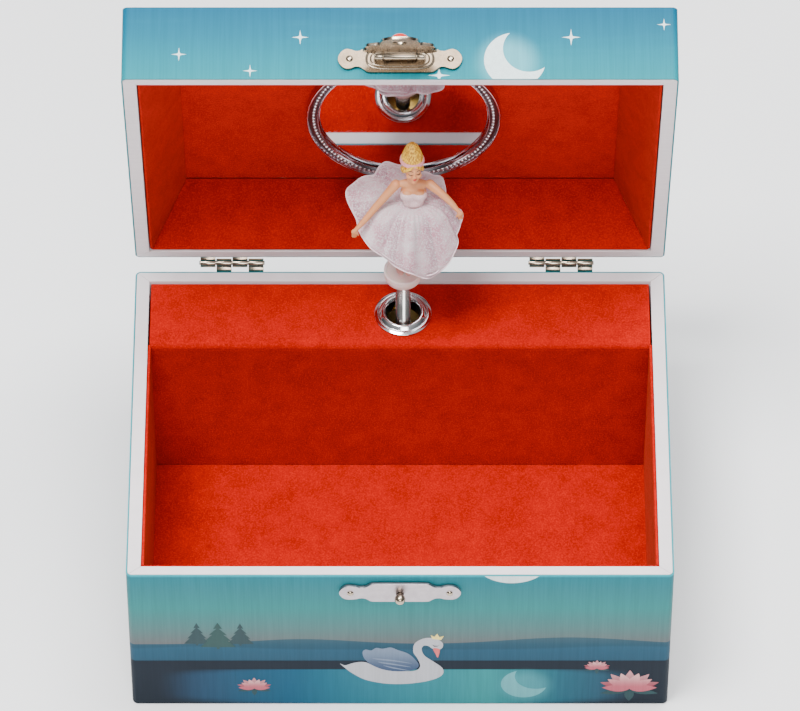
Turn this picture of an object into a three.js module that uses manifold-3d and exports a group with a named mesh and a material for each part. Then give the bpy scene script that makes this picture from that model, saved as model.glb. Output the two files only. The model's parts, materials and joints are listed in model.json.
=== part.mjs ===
// Wind-up musical jewellery box with a dancer that turns on a spring post.
//
// Millimetres, +X to the right, +Y to the back, +Z up. The origin is the centre of the underside.
// The lid stands open and the hasp is lifted. The dancer stands upright on its post.

import * as THREE from 'three';
import { mergeVertices } from 'three/addons/utils/BufferGeometryUtils.js';
import Module from 'manifold-3d';

const wasm = await Module();
wasm.setup();

// ---------------------------------------------------------------- driving dimensions

const boxWidth = 150;
const boxDepth = 108;
const baseHeight = 59.5;
const lidHeight = 22;
const lidOpenAngle = 76.5 * Math.PI / 180;
const haspLift = 77 * Math.PI / 180;

const sideWall = 4;
const frontWall = 3.2;
const backWall = 3.6;
const lidTopBoard = 2.5;
const bottomBoard = 3.2;
const paper = 0.35;
const feltCard = 0.8;

const gap = 0.3;
const glueGap = 0.1;
const mitreGap = 0.12;
const cornerRadius = 1.6;

const bayDepth = 22.5;
const coverDrop = 0.95;
const coverCard = 1.2;
const coverEdgeRadius = 2;
const coverEndGap = 0.5;

const liningSlope = 10.6;

const mirrorHalfWidth = 27;
const mirrorMargin = 4;
const mirrorFrameWidth = 4.6;
const mirrorThickness = 1;
const mirrorFrameHeight = 2.6;

const hingeSpacing = 93.4;
const hingeWidth = 18.2;
const hingeKnuckles = 4;
const knuckleRadius = 1.25;
const hingePinRadius = 0.55;
const hingeSetback = 3.1;
const leafHeight = 9;
const leafThickness = 0.7;

const catchWidth = 33.4;
const catchHeight = 7.7;
const catchDrop = 6.5;
const plateThickness = 0.8;
const catchPinDrop = 7;
const catchPinReach = 4.2;
const catchPinStem = 0.9;
const catchPinHead = 1.5;

const haspRodRise = 6.2;
const haspRodLength = 14;
const haspRodRadius = 0.6;
const haspKnuckleWidth = 8.7;
const haspKnuckleRadius = 1.25;
const haspReach = 17.2;
const haspWidth = 20;
const haspPlateCentre = 6;
const jewelRadius = 2.7;
const jewelHeight = 2.6;
const jewelDistance = 9.2;

const postX = 0.85;
const postOffset = 0.05;
const springRadius = 2.1;
const springWire = 0.8;
const springBelow = 9.55;
const springFree = 16.5;
const grommetRadius = 8.1;
const grommetBore = 4.68;
const grommetSleeve = 0.7;
const grommetRise = 1.7;
const pedestalRadius = 5.4;
const pedestalHeight = 3.2;

const skirtRadius = 16.2;
const skirtFolds = 9;
const waistHeight = 28;

const wheelClearance = 1.105;
const addendum = 0.85;
const dedendum = 1.1;
const faceModules = 3.43;
const movementLift = -0.095;
const trainLength = 30.95;
const wheelSetback = 6.1;
const wheelWidth = 1.8;
const vaneLength = 11.6;
const greatTeeth = 30;
const pinionTeeth = 10;
const crownTeeth = 16;
const cylinderTeeth = 24;
const governorTeeth = 20;
const smallTeeth = 8;
const meshSlack = 0.12;
const arborRadius = 0.9;
const arborPlay = 0.25;
const cylinderRadius = 6;
const cylinderLength = 16;
const combTines = 18;
const combGap = 0.6;
const combTineLength = 6;
const combRootHeight = 5;
const flyReach = 4;
const bedplateThickness = 1.6;
const bearingThickness = 1.2;
const keyStemRadius = 2;
const keyWing = 11;
const keyBlade = 1.2;
const keyCollarLength = 6.5;
const keyBladeReach = 8.1;

// ---------------------------------------------------------------- worked-out places

const innerX = boxWidth / 2 - sideWall;
const innerFront = -boxDepth / 2 + frontWall;
const innerBack = boxDepth / 2 - backWall;
const halfGap = gap / 2;
const seam = baseHeight + gap;
const hingeY = boxDepth / 2 + hingeSetback;
const hingeZ = baseHeight + gap / 2;
const coverTop = baseHeight - coverDrop;
const coverFront = innerBack - bayDepth;
const postY = innerBack - bayDepth / 2 + postOffset;
const floorTop = bottomBoard + glueGap;
const liningDepth = lidHeight - paper - lidTopBoard - feltCard - 2 * glueGap;
const springFoot = coverTop - springBelow;
const springTop = coverTop + springFree;
const mirrorHalfLength = (innerBack - innerFront) / 2 - liningSlope - mirrorMargin;
const module = (bayDepth / 2 + postOffset - coverCard - wheelClearance) / (cylinderTeeth / 2 + addendum);
const trainDrop = module * (cylinderTeeth + governorTeeth + 2 * smallTeeth) / 2 + 2 * meshSlack;
const movementBelow = trainDrop + flyReach;
const movementAbove = cylinderRadius + combGap + combTineLength + combRootHeight;
const underCover = coverTop - coverCard;
const movementRoom = underCover - bottomBoard - movementBelow - movementAbove;
const movementHeight = bottomBoard + movementRoom / 2 + movementBelow + movementLift;
const pedestalTop = springTop + glueGap + pedestalHeight;

// ---------------------------------------------------------------- materials

const finish = (color, roughness, metalness = 0) =>
  new THREE.MeshStandardMaterial({ color, roughness, metalness });

const whiteEdge = finish(0xf3eef0, 0.6);
const printedTeal = finish(0x2fa9bd, 0.42);
const redFelt = finish(0xe8361c, 0.95);
const nickel = finish(0xc9c3b4, 0.28, 1);
const chrome = finish(0xd9dadd, 0.16, 1);
const steel = finish(0xa9abb0, 0.35, 1);
const brass = finish(0xc9a44c, 0.3, 1);
const mirrorGlass = finish(0xdfe6ea, 0.03, 1);
const silverTrim = finish(0xc4c6cb, 0.3, 1);
const redJewel = finish(0xc81d25, 0.12);
const palePink = finish(0xf3dcd9, 0.4);
const skin = finish(0xe9b998, 0.5);
const tulle = finish(0xeadff0, 0.55);

// ---------------------------------------------------------------- solid tools

// Closed geometry to a solid that can be cut and joined.
function solid(geometry) {
  const bare = geometry.clone();
  for (const name of Object.keys(bare.attributes)) {
    if (name !== 'position') bare.deleteAttribute(name);
  }
  const merged = mergeVertices(bare, 1e-4);
  const vertProperties = new Float32Array(merged.attributes.position.array);
  const triVerts = new Uint32Array(merged.index.array);
  return new wasm.Manifold(new wasm.Mesh({ numProp: 3, vertProperties, triVerts }));
}

function geometryOf(body) {
  const mesh = body.getMesh();
  const geometry = new THREE.BufferGeometry();
  geometry.setAttribute('position', new THREE.BufferAttribute(mesh.vertProperties, 3));
  geometry.setIndex(new THREE.BufferAttribute(mesh.triVerts, 1));
  geometry.computeVertexNormals();
  return geometry;
}

const join = (first, ...rest) => geometryOf(rest.reduce((sum, g) => sum.add(solid(g)), solid(first)));
const cut = (first, ...rest) => geometryOf(rest.reduce((sum, g) => sum.subtract(solid(g)), solid(first)));

// A mesh with one flat-ended sweep from a convex loop of points along one vector.
function prism(loop, reach) {
  const count = loop.length;
  const positions = [];
  for (const p of loop) positions.push(p.x, p.y, p.z);
  for (const p of loop) positions.push(p.x + reach.x, p.y + reach.y, p.z + reach.z);
  const normal = new THREE.Vector3();
  for (let i = 1; i < count - 1; i++) {
    const a = loop[i].clone().sub(loop[0]);
    const b = loop[i + 1].clone().sub(loop[0]);
    normal.add(a.cross(b));
  }
  const forward = normal.dot(reach) > 0;
  const faces = [];
  const face = (a, b, c) => faces.push(...(forward ? [a, b, c] : [a, c, b]));
  for (let i = 1; i < count - 1; i++) {
    face(0, i + 1, i);
    face(count, count + i, count + i + 1);
  }
  for (let i = 0; i < count; i++) {
    const next = (i + 1) % count;
    face(i, next, count + next);
    face(i, count + next, count + i);
  }
  const geometry = new THREE.BufferGeometry();
  geometry.setAttribute('position', new THREE.Float32BufferAttribute(positions, 3));
  geometry.setIndex(faces);
  geometry.computeVertexNormals();
  return geometry;
}

const vector = (x, y, z) => new THREE.Vector3(x, y, z);

function block(x0, x1, y0, y1, z0, z1) {
  const geometry = new THREE.BoxGeometry(x1 - x0, y1 - y0, z1 - z0);
  return geometry.translate((x0 + x1) / 2, (y0 + y1) / 2, (z0 + z1) / 2);
}

// Axis changes for shapes that are drawn flat and extruded along Z.
const alongX = new THREE.Matrix4().set(0, 0, 1, 0, 1, 0, 0, 0, 0, 1, 0, 0, 0, 0, 0, 1);
const alongY = new THREE.Matrix4().set(1, 0, 0, 0, 0, 0, -1, 0, 0, 1, 0, 0, 0, 0, 0, 1);

function extrude(shape, depth, curveSegments = 8) {
  return new THREE.ExtrudeGeometry(shape, { depth, bevelEnabled: false, curveSegments });
}

// Outline in X and Z, running from y to y - depth.
const plateFront = (shape, y, depth, segments) =>
  extrude(shape, depth, segments).applyMatrix4(alongY).translate(0, y, 0);

// Outline in Y and Z, running from x0 to x1.
const barX = (shape, x0, x1, segments) =>
  extrude(shape, x1 - x0, segments).applyMatrix4(alongX).translate(x0, 0, 0);

function rodX(radius, x0, x1, y, z, sides = 14) {
  const geometry = new THREE.CylinderGeometry(radius, radius, x1 - x0, sides);
  return geometry.rotateZ(Math.PI / 2).translate((x0 + x1) / 2, y, z);
}

function rodY(radius, y0, y1, x, z, sides = 14) {
  const geometry = new THREE.CylinderGeometry(radius, radius, y1 - y0, sides);
  return geometry.translate(x, (y0 + y1) / 2, z);
}

function rodZ(radius, z0, z1, x, y, sides = 14) {
  const geometry = new THREE.CylinderGeometry(radius, radius, z1 - z0, sides);
  return geometry.rotateX(Math.PI / 2).translate(x, y, (z0 + z1) / 2);
}

// Profile of [radius, height] pairs turned about Z.
function turned(profile, sides = 32) {
  const points = profile.map(([r, z]) => new THREE.Vector2(r, z));
  return new THREE.LatheGeometry(points, sides).rotateX(Math.PI / 2);
}

function polygon(points) {
  return new THREE.Shape(points.map(([x, y]) => new THREE.Vector2(x, y)));
}

function roundedRectangle(halfX, halfY, radius) {
  const shape = new THREE.Shape();
  const x = halfX - radius;
  const y = halfY - radius;
  shape.absarc(x, y, radius, 0, Math.PI / 2);
  shape.absarc(-x, y, radius, Math.PI / 2, Math.PI);
  shape.absarc(-x, -y, radius, Math.PI, 1.5 * Math.PI);
  shape.absarc(x, -y, radius, 1.5 * Math.PI, 2 * Math.PI);
  shape.closePath();
  return shape;
}

const box = new THREE.Group();
const lid = new THREE.Group();
lid.position.set(0, hingeY, hingeZ);
lid.rotation.x = -lidOpenAngle;
box.add(lid);

function add(name, geometry, material, parent = box) {
  const mesh = new THREE.Mesh(geometry, material);
  mesh.name = name;
  parent.add(mesh);
  return mesh;
}

// The lid's pieces are drawn where they lie when it is shut, then carried by its hinge.
function addToLid(name, geometry, material) {
  return add(name, geometry.translate(0, -hingeY, -hingeZ), material, lid);
}

// ---------------------------------------------------------------- boxes of mitred boards

// Four boards round a rectangle, each a mitred prism standing on z0.
function mitredBoards(z0, z1) {
  const outerX = boxWidth / 2 - paper - glueGap;
  const outerY = boxDepth / 2 - paper - glueGap;
  const m = mitreGap / 2;
  const up = vector(0, 0, z1 - z0);
  const loop = (points) => prism(points.map(([x, y]) => vector(x, y, z0)), up);
  return {
    front: loop([
      [-outerX + m, -outerY], [outerX - m, -outerY], [innerX - m, innerFront], [-innerX + m, innerFront],
    ]),
    back: loop([
      [-outerX + m, outerY], [outerX - m, outerY], [innerX - m, innerBack], [-innerX + m, innerBack],
    ]),
    left: loop([
      [-outerX, -outerY + m], [-innerX, innerFront + m], [-innerX, innerBack - m], [-outerX, outerY - m],
    ]),
    right: loop([
      [outerX, -outerY + m], [innerX, innerFront + m], [innerX, innerBack - m], [outerX, outerY - m],
    ]),
  };
}

function wrapSleeve(z0, z1) {
  const outline = roundedRectangle(boxWidth / 2, boxDepth / 2, cornerRadius);
  const inside = roundedRectangle(boxWidth / 2 - paper, boxDepth / 2 - paper, cornerRadius - paper);
  outline.holes.push(inside);
  return extrude(outline, z1 - z0, 4).translate(0, 0, z0);
}

function trimCorners(boards, z0, z1) {
  const inset = paper + glueGap;
  const outline = roundedRectangle(boxWidth / 2 - inset, boxDepth / 2 - inset, cornerRadius - inset);
  const rounded = solid(extrude(outline, z1 - z0 + 2, 4).translate(0, 0, z0 - 1));
  return geometryOf(solid(boards).intersect(rounded));
}

const keyX = postX + module * crownTeeth / 2 + trainLength + module * greatTeeth / 2;

function buildBaseCarcass() {
  const boards = mitredBoards(0, baseHeight);
  const keyHole = rodY(keyStemRadius + 1, innerBack - 1, boxDepth / 2 + 1, keyX, movementHeight);
  const wrapHole = rodY(keyStemRadius + 1.4, innerBack - 1, boxDepth / 2 + 1, keyX, movementHeight);
  add('base_front_board', trimCorners(boards.front, 0, baseHeight), whiteEdge);
  add('base_back_board', cut(trimCorners(boards.back, 0, baseHeight), keyHole), whiteEdge);
  add('base_left_board', trimCorners(boards.left, 0, baseHeight), whiteEdge);
  add('base_right_board', trimCorners(boards.right, 0, baseHeight), whiteEdge);
  const g = glueGap;
  const bottom = block(-innerX + g, innerX - g, innerFront + g, innerBack - g, 0, bottomBoard);
  add('base_bottom_board', bottom, whiteEdge);
  add('base_print_wrap', cut(wrapSleeve(glueGap, baseHeight - glueGap), wrapHole), printedTeal);
}

function buildTray() {
  const g = glueGap;
  const back = coverFront - g;
  const top = baseHeight - 0.6;
  const x = innerX - g;
  const y = innerFront + g;
  const bottom = floorTop + feltCard + g;
  add('tray_floor_pad', block(-x, x, y, back, floorTop, floorTop + feltCard), redFelt);
  add('tray_front_lining', block(-x, x, y, y + feltCard, bottom, top), redFelt);
  add('tray_left_lining', block(-x, -x + feltCard, y + feltCard + g, back, bottom, top), redFelt);
  add('tray_right_lining', block(x - feltCard, x, y + feltCard + g, back, bottom, top), redFelt);
}

function buildMovementCover() {
  const halfWidth = innerX - coverEndGap;
  const r = coverEdgeRadius;
  const top = new THREE.Shape();
  top.moveTo(innerBack - gap, coverTop - coverCard);
  top.lineTo(innerBack - gap, coverTop);
  top.lineTo(coverFront + r, coverTop);
  top.absarc(coverFront + r, coverTop - r, r, Math.PI / 2, Math.PI);
  top.lineTo(coverFront + coverCard, coverTop - r);
  top.absarc(coverFront + r, coverTop - r, r - coverCard, Math.PI, Math.PI / 2, true);
  top.closePath();
  const hole = rodZ(grommetBore + grommetSleeve + halfGap, coverTop - 4, coverTop + 1, postX, postY, 32);
  add('movement_cover_top', cut(barX(top, -halfWidth, halfWidth, 6), hole), redFelt);
  const low = floorTop + glueGap;
  const high = coverTop - r - glueGap;
  const front = block(-halfWidth, halfWidth, coverFront, coverFront + coverCard, low, high);
  add('movement_cover_front', front, redFelt);
}

function buildGrommet() {
  const r = grommetRadius;
  const bore = grommetBore;
  const z = coverTop + glueGap;
  const profile = [
    [bore, z - 3.2], [bore + grommetSleeve, z - 3.2], [bore + grommetSleeve, z], [r, z], [r, z + 0.35],
    [r - 0.5, z + 0.8], [r - 1.2, z + 0.95], [r - 1.7, z + 1.45], [r - 2.4, z + grommetRise],
    [bore + 0.5, z + grommetRise - 0.1], [bore, z + grommetRise - 0.6], [bore, z - 3.2],
  ];
  add('post_grommet', turned(profile, 28).translate(postX, postY, 0), chrome);
}

// ---------------------------------------------------------------- dancer and spring post

function buildSpring() {
  const outer = springRadius;
  const inner = springRadius - springWire;
  const turns = Math.round((springTop - springFoot) / springWire / 1.9);
  const pitch = (springTop - springFoot) / turns;
  const profile = [[inner, springFoot], [outer - 0.18, springFoot]];
  for (let i = 0; i < turns; i++) {
    profile.push([outer, springFoot + (i + 0.5) * pitch]);
    profile.push([outer - 0.18, springFoot + (i + 1) * pitch]);
  }
  profile.push([inner, springTop], [inner, springFoot]);
  add('flex_spring', turned(profile, 12).translate(postX, postY, 0), nickel);
}

const dancer = new THREE.Group();
dancer.position.set(postX, postY, 0);
box.add(dancer);

function buildPedestal() {
  const z = springTop + glueGap;
  const r = pedestalRadius;
  const profile = [
    [0, z], [r - 0.3, z], [r, z + 0.3], [r, z + pedestalHeight - 0.4],
    [r - 0.4, z + pedestalHeight], [0, z + pedestalHeight],
  ];
  add('pedestal', turned(profile, 32), palePink, dancer);
}

function limb(points, radius, sides = 8, steps = 7) {
  const path = new THREE.CatmullRomCurve3(points.map(([x, y, z]) => vector(x, y, z)));
  const section = new THREE.Shape();
  section.absarc(0, 0, radius, 0, 2 * Math.PI);
  return new THREE.ExtrudeGeometry(section, {
    steps, extrudePath: path, bevelEnabled: false, curveSegments: sides / 2,
  });
}

function ball(x, y, z, rx, ry, rz, detail = 10) {
  return new THREE.SphereGeometry(1, detail, detail * 0.75).scale(rx, ry, rz).translate(x, y, z);
}

// Shoulder to wrist, as offsets from the post's axis and the sole of the foot.
const rightArmPath = [[-2, 0.2, 36.8], [-4.9, -1.8, 33.6], [-7.8, -3.4, 30.4], [-12.9, -6.4, 25]];
const leftArmPath = [[7.3, 0.2, 36.8], [9.8, -1.9, 35.9], [12, -3.2, 34.4], [15.2, -5.4, 31.6]];
const rightHand = [-13.4, -6.7, 24.1];
const leftHand = [15.7, -5.7, 30.7];
const armRadius = 1.15;

const raised = (points, z) => points.map(([x, y, height]) => [x, y, z + height]);

// The dancer's body is offset from the post's axis, as it leans a little to its left.
function buildDancer() {
  const z = pedestalTop + halfGap;
  const legs = [
    limb([[-1, 0, z + 0.3], [-1, 0, z + 2.4], [0.6, 0, z + 12], [1.4, 0, z + 25]], 1.5),
    limb([[1.6, 0, z + 0.3], [1.6, 0, z + 2.4], [2.6, 0, z + 12], [3.4, 0, z + 25]], 1.5),
  ];
  const torso = [
    ball(2.7, 0, z + 24, 4, 3.2, 4),
    ball(2.9, 0, z + 28, 2.7, 2.2, 4),
    ball(2.9, -0.3, z + 33.5, 4.1, 2.9, 4.2),
    ball(2.7, 0, z + 37, 4.6, 2, 2),
  ];
  const neck = limb([[2.6, 0.2, z + 36], [2.5, 0, z + 42]], 1.3, 8, 2);
  const head = ball(2.5, -0.6, z + 43.8, 2.9, 3.2, 3.7);
  const hair = ball(2.5, 0.4, z + 45.6, 3.1, 3.4, 3.2);
  const bun = ball(2.5, 1.6, z + 50.2, 2.3, 2.4, 4.2, 12);
  const rightArm = limb(raised(rightArmPath, z), armRadius);
  const leftArm = limb(raised(leftArmPath, z), armRadius);
  const hands = [rightHand, leftHand].map(([x, y, height]) => ball(x, y, z + height, 1.2, 0.9, 1.7, 8));
  const pieces = [...legs, ...torso, neck, head, hair, bun, rightArm, leftArm, ...hands];
  add('ballerina_figure', join(...pieces), skin, dancer);
}

// A gathered skirt: one thin wall that falls and flares from the waist, with soft folds.
function buildSkirt() {
  const z = pedestalTop + waistHeight;
  const wall = 0.7;
  const outer = [];
  const inner = [];
  const rows = 4;
  for (let i = 0; i <= rows; i++) {
    const t = i / rows;
    const r = 4.6 + (skirtRadius - 4.6) * Math.sin(t * 1.35) / Math.sin(1.35);
    const drop = 0.6 + 10.4 * t ** 2.1;
    outer.push([r, z - drop + wall]);
    inner.push([r, z - drop]);
  }
  const profile = [...inner, ...outer.reverse(), inner[0]];
  const geometry = turned(profile, 45);
  const position = geometry.attributes.position;
  for (let i = 0; i < position.count; i++) {
    const x = position.getX(i);
    const y = position.getY(i);
    const r = Math.hypot(x, y);
    const share = Math.max(0, (r - 5) / (skirtRadius - 5));
    const wave = Math.sin(skirtFolds * Math.atan2(y, x));
    position.setZ(i, position.getZ(i) + 1.1 * share * wave);
    const reach = 1 - 0.05 * share * (1 + Math.cos(skirtFolds * Math.atan2(y, x)));
    position.setX(i, x * reach);
    position.setY(i, y * reach);
  }
  const around = solid(geometry.translate(2.2, 0, 0));
  const foot = pedestalTop + halfGap;
  const sleeve = armRadius + 1;
  const arms = [
    limb(raised(rightArmPath, foot), sleeve),
    limb(raised(leftArmPath, foot), sleeve),
    ...raised([rightHand, leftHand], foot).map(([x, y, height]) => ball(x, y, height, 2, 1.8, 2.6, 8)),
  ];
  const trimmed = arms.reduce((body, arm) => body.subtract(solid(arm)), around);
  const pieces = trimmed.decompose();
  const largest = pieces.reduce((best, p) => (p.numTri() > best.numTri() ? p : best));
  add('ballerina_skirt', geometryOf(largest), tulle, dancer);
}

// ---------------------------------------------------------------- movement

// Straight-sided teeth on a disc, drawn in X and Y with one tooth on +X plus the phase.
function gearShape(teeth, phase) {
  const pitchRadius = module * teeth / 2;
  const pitch = 2 * Math.PI / teeth;
  const tip = pitchRadius + addendum * module;
  const root = pitchRadius - dedendum * module;
  const points = [];
  for (let i = 0; i < teeth; i++) {
    const a = phase + i * pitch;
    const steps = [[root, -0.27], [tip, -0.11], [tip, 0.11], [root, 0.27]];
    for (const [r, share] of steps) {
      points.push([r * Math.cos(a + share * pitch), r * Math.sin(a + share * pitch)]);
    }
  }
  return polygon(points);
}

// Spur gear with its axis along X. The angle is measured from +Y towards +Z.
const spurX = (teeth, phase, x0, x1, y, z) =>
  barX(gearShape(teeth, phase), x0, x1).translate(0, y, z);

// Face gear about Z with teeth pointing down from z = 0 at its pitch plane, one tooth on +X.
function faceGear(teeth, faceWidth, plate, bore) {
  const pitchRadius = module * teeth / 2;
  const pitch = 2 * Math.PI * pitchRadius / teeth;
  const tipDrop = 0.75 * module;
  const rootRise = 1.15 * module;
  const outer = pitchRadius + faceWidth / 2;
  const disc = turned([
    [bore, rootRise], [outer, rootRise], [outer, rootRise + plate],
    [bore, rootRise + plate], [bore, rootRise],
  ], 32);
  const flank = polygon([
    [-0.23 * pitch, rootRise + 0.1], [-0.11 * pitch, -tipDrop],
    [0.11 * pitch, -tipDrop], [0.23 * pitch, rootRise + 0.1],
  ]);
  const pieces = [];
  for (let i = 0; i < teeth; i++) {
    const tooth = barX(flank, pitchRadius - faceWidth / 2 + 0.1, outer - 0.1);
    pieces.push(tooth.rotateZ(i * 2 * Math.PI / teeth));
  }
  return join(disc, ...pieces);
}

const shaftY = postY;
const shaftZ = movementHeight;
const pinionPitch = module * pinionTeeth / 2;
const crownPitch = module * crownTeeth / 2;
const greatPitch = module * greatTeeth / 2;
const wheelPitch = module * cylinderTeeth / 2;
const smallPitch = module * smallTeeth / 2;
const governorPitch = module * governorTeeth / 2;
const faceMesh = faceModules * module;

const spindlePinion = [postX + crownPitch - faceMesh / 2, postX + crownPitch + faceMesh / 2];
const leftBearing = [spindlePinion[1] + 0.7, spindlePinion[1] + 0.7 + bearingThickness];
const cylinderStart = leftBearing[1] + 0.6;
const cylinderEnd = cylinderStart + cylinderLength;
const cylinderWheel = [keyX - greatPitch - wheelSetback, keyX - greatPitch - wheelSetback + wheelWidth];
const rightBearing = [cylinderWheel[1] + 0.5, cylinderWheel[1] + 0.5 + bearingThickness];
const greatPinion = [keyX - greatPitch - faceMesh / 2, keyX - greatPitch + faceMesh / 2];
const governorZ = shaftZ - wheelPitch - smallPitch - meshSlack;
const flyZ = governorZ - governorPitch - smallPitch - meshSlack;
const governorWheel = [cylinderWheel[0] - 3, cylinderWheel[0] - 1.4];
const flyEar = [governorWheel[0] - 2.4, governorWheel[0] - 2.4 + bearingThickness];
const bedFront = innerBack - gap - bedplateThickness;

function buildBedplate() {
  const z0 = bottomBoard + 4;
  const z1 = coverTop - coverCard - 3;
  const plate = block(postX - 7, keyX + 15, bedFront, innerBack - gap, z0, z1);
  const hole = rodY(keyStemRadius + 0.6, bedFront - 1, innerBack + 1, keyX, shaftZ);
  add('movement_bedplate', cut(plate, hole), steel);
}

// Plate that stands out from the bedplate and holds one or more arbors.
function ear(x0, x1, zLow, zHigh, holes) {
  const plate = block(x0, x1, shaftY - 3, bedFront - halfGap, zLow, zHigh);
  const bores = holes.map((z) => rodX(arborRadius + arborPlay, x0 - 1, x1 + 1, shaftY, z, 16));
  return cut(plate, ...bores);
}

function buildBearings() {
  const reach = 3.4;
  const low = shaftZ - reach;
  const high = shaftZ + reach;
  add('cylinder_bearing_left', ear(...leftBearing, low, high, [shaftZ]), brass);
  add('cylinder_bearing_right', ear(...rightBearing, low, high, [shaftZ]), brass);
  const frameLow = flyZ - 3;
  const frameHigh = governorZ + 3;
  const left = ear(...flyEar, frameLow, frameHigh, [governorZ, flyZ]);
  const rightX = [cylinderWheel[1] + 0.8, cylinderWheel[1] + 0.8 + bearingThickness];
  const right = ear(...rightX, frameLow, frameHigh, [governorZ, flyZ]);
  const webBack = bedFront - halfGap;
  const web = block(flyEar[0], rightX[1], webBack - bearingThickness, webBack, frameLow, frameHigh - 3.4);
  add('governor_frame', join(left, right, web), brass);
}

function buildCylinder() {
  const r = cylinderRadius;
  const drum = rodX(r, cylinderStart, cylinderEnd, 0, 0, 40);
  const arbor = rodX(arborRadius, spindlePinion[0] - 0.6, greatPinion[1] + 0.4, 0, 0, 16);
  const gapOfPinion = Math.PI / pinionTeeth;
  const small = spurX(pinionTeeth, Math.PI / 2 + gapOfPinion, ...spindlePinion, 0, 0);
  const wheel = spurX(cylinderTeeth, -Math.PI / 2, ...cylinderWheel, 0, 0);
  const driven = spurX(pinionTeeth, gapOfPinion, ...greatPinion, 0, 0);
  const pins = [];
  const spacing = (cylinderLength - 2) / (combTines - 1);
  for (let track = 0; track < combTines; track++) {
    const x = cylinderStart + 1 + track * spacing;
    const pin = block(x - 0.14, x + 0.14, r - 0.4, r + 0.35, -0.14, 0.14);
    pins.push(pin.rotateX(track * 2.4));
  }
  const geometry = join(drum, arbor, small, wheel, driven, ...pins);
  const mesh = add('pinned_cylinder', geometry, brass);
  mesh.position.set(0, shaftY, shaftZ);
}

function buildComb() {
  const z0 = shaftZ + cylinderRadius + combGap;
  const root = z0 + combTineLength;
  const z1 = root + combRootHeight;
  const spacing = (cylinderLength - 2) / (combTines - 1);
  const slot = 0.2;
  const x0 = cylinderStart + 1 - spacing / 2;
  const points = [[x0, z1], [x0, z0]];
  for (let i = 1; i < combTines; i++) {
    const x = x0 + i * spacing;
    const depth = root - i * 0.2;
    points.push([x - slot / 2, z0], [x - slot / 2, depth], [x + slot / 2, depth], [x + slot / 2, z0]);
  }
  const x1 = x0 + combTines * spacing;
  points.push([x1, z0], [x1, z1]);
  const comb = plateFront(polygon(points), shaftY + 0.4, 0.8);
  const screwX = [x0 + 3.4, x1 - 3.4];
  const screwZ = root + combRootHeight / 2 + 0.2;
  const holes = screwX.map((x) => rodY(0.85, shaftY - 2, shaftY + 2, x, screwZ, 16));
  add('tone_comb', cut(comb, ...holes), steel);
  const spacer = block(x0, x1, shaftY + 0.4 + halfGap, bedFront - halfGap, root + 0.6, z1);
  const taps = screwX.map((x) => rodY(0.85, shaftY, bedFront, x, screwZ, 16));
  add('comb_spacer', cut(spacer, ...taps), brass);
  screwX.forEach((x, i) => {
    const head = rodY(1.6, shaftY - 0.4 - halfGap - 0.9, shaftY - 0.4 - halfGap, x, screwZ, 16);
    const shank = rodY(0.6, shaftY - 1, shaftY + 5, x, screwZ, 12);
    add(`comb_screw_${i + 1}`, join(head, shank), steel);
  });
}

function buildGovernor() {
  const arborEnd = cylinderWheel[1] + 0.8 + bearingThickness + 0.4;
  const smallPhase = Math.PI / 2 + Math.PI / smallTeeth;
  const arbor = rodX(arborRadius, flyEar[0] - 0.4, arborEnd, 0, 0, 16);
  const pinion = spurX(smallTeeth, smallPhase, cylinderWheel[0] - 0.3, cylinderWheel[1] + 0.3, 0, 0);
  const wheel = spurX(governorTeeth, -Math.PI / 2, ...governorWheel, 0, 0);
  const wheelArbor = add('governor_wheel', join(arbor, pinion, wheel), brass);
  wheelArbor.position.set(0, shaftY, governorZ);
  const vaneEnd = flyEar[0] - 0.8;
  const vaneStart = vaneEnd - vaneLength;
  const flyArbor = rodX(arborRadius, vaneStart - 1, arborEnd, 0, 0, 16);
  const flyPinion = spurX(smallTeeth, smallPhase, governorWheel[0] - 0.3, governorWheel[1] + 0.3, 0, 0);
  const vanes = block(vaneStart, vaneEnd, -flyReach, flyReach, -0.3, 0.3);
  const fly = add('governor_fly', join(flyArbor, flyPinion, vanes), steel);
  fly.position.set(0, shaftY, flyZ);
}

function buildSpindle() {
  const low = shaftZ + pinionPitch;
  const gear = faceGear(crownTeeth, faceMesh, 1, arborRadius - 0.2);
  const shaft = rodZ(arborRadius + 0.2, 0.4, springFoot + 5 - low, 0, 0, 16);
  const mesh = add('drive_spindle', join(gear, shaft), brass);
  mesh.position.set(postX, postY, low + meshSlack / 2);
  const z0 = low + 5;
  const plate = block(postX - 4.5, postX + 4.5, postY - 4.5, bedFront - halfGap, z0, z0 + 1.4);
  const bore = rodZ(arborRadius + 0.2 + arborPlay, z0 - 1, z0 + 3, postX, postY, 24);
  add('spindle_bracket', cut(plate, bore), brass);
}

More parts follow.
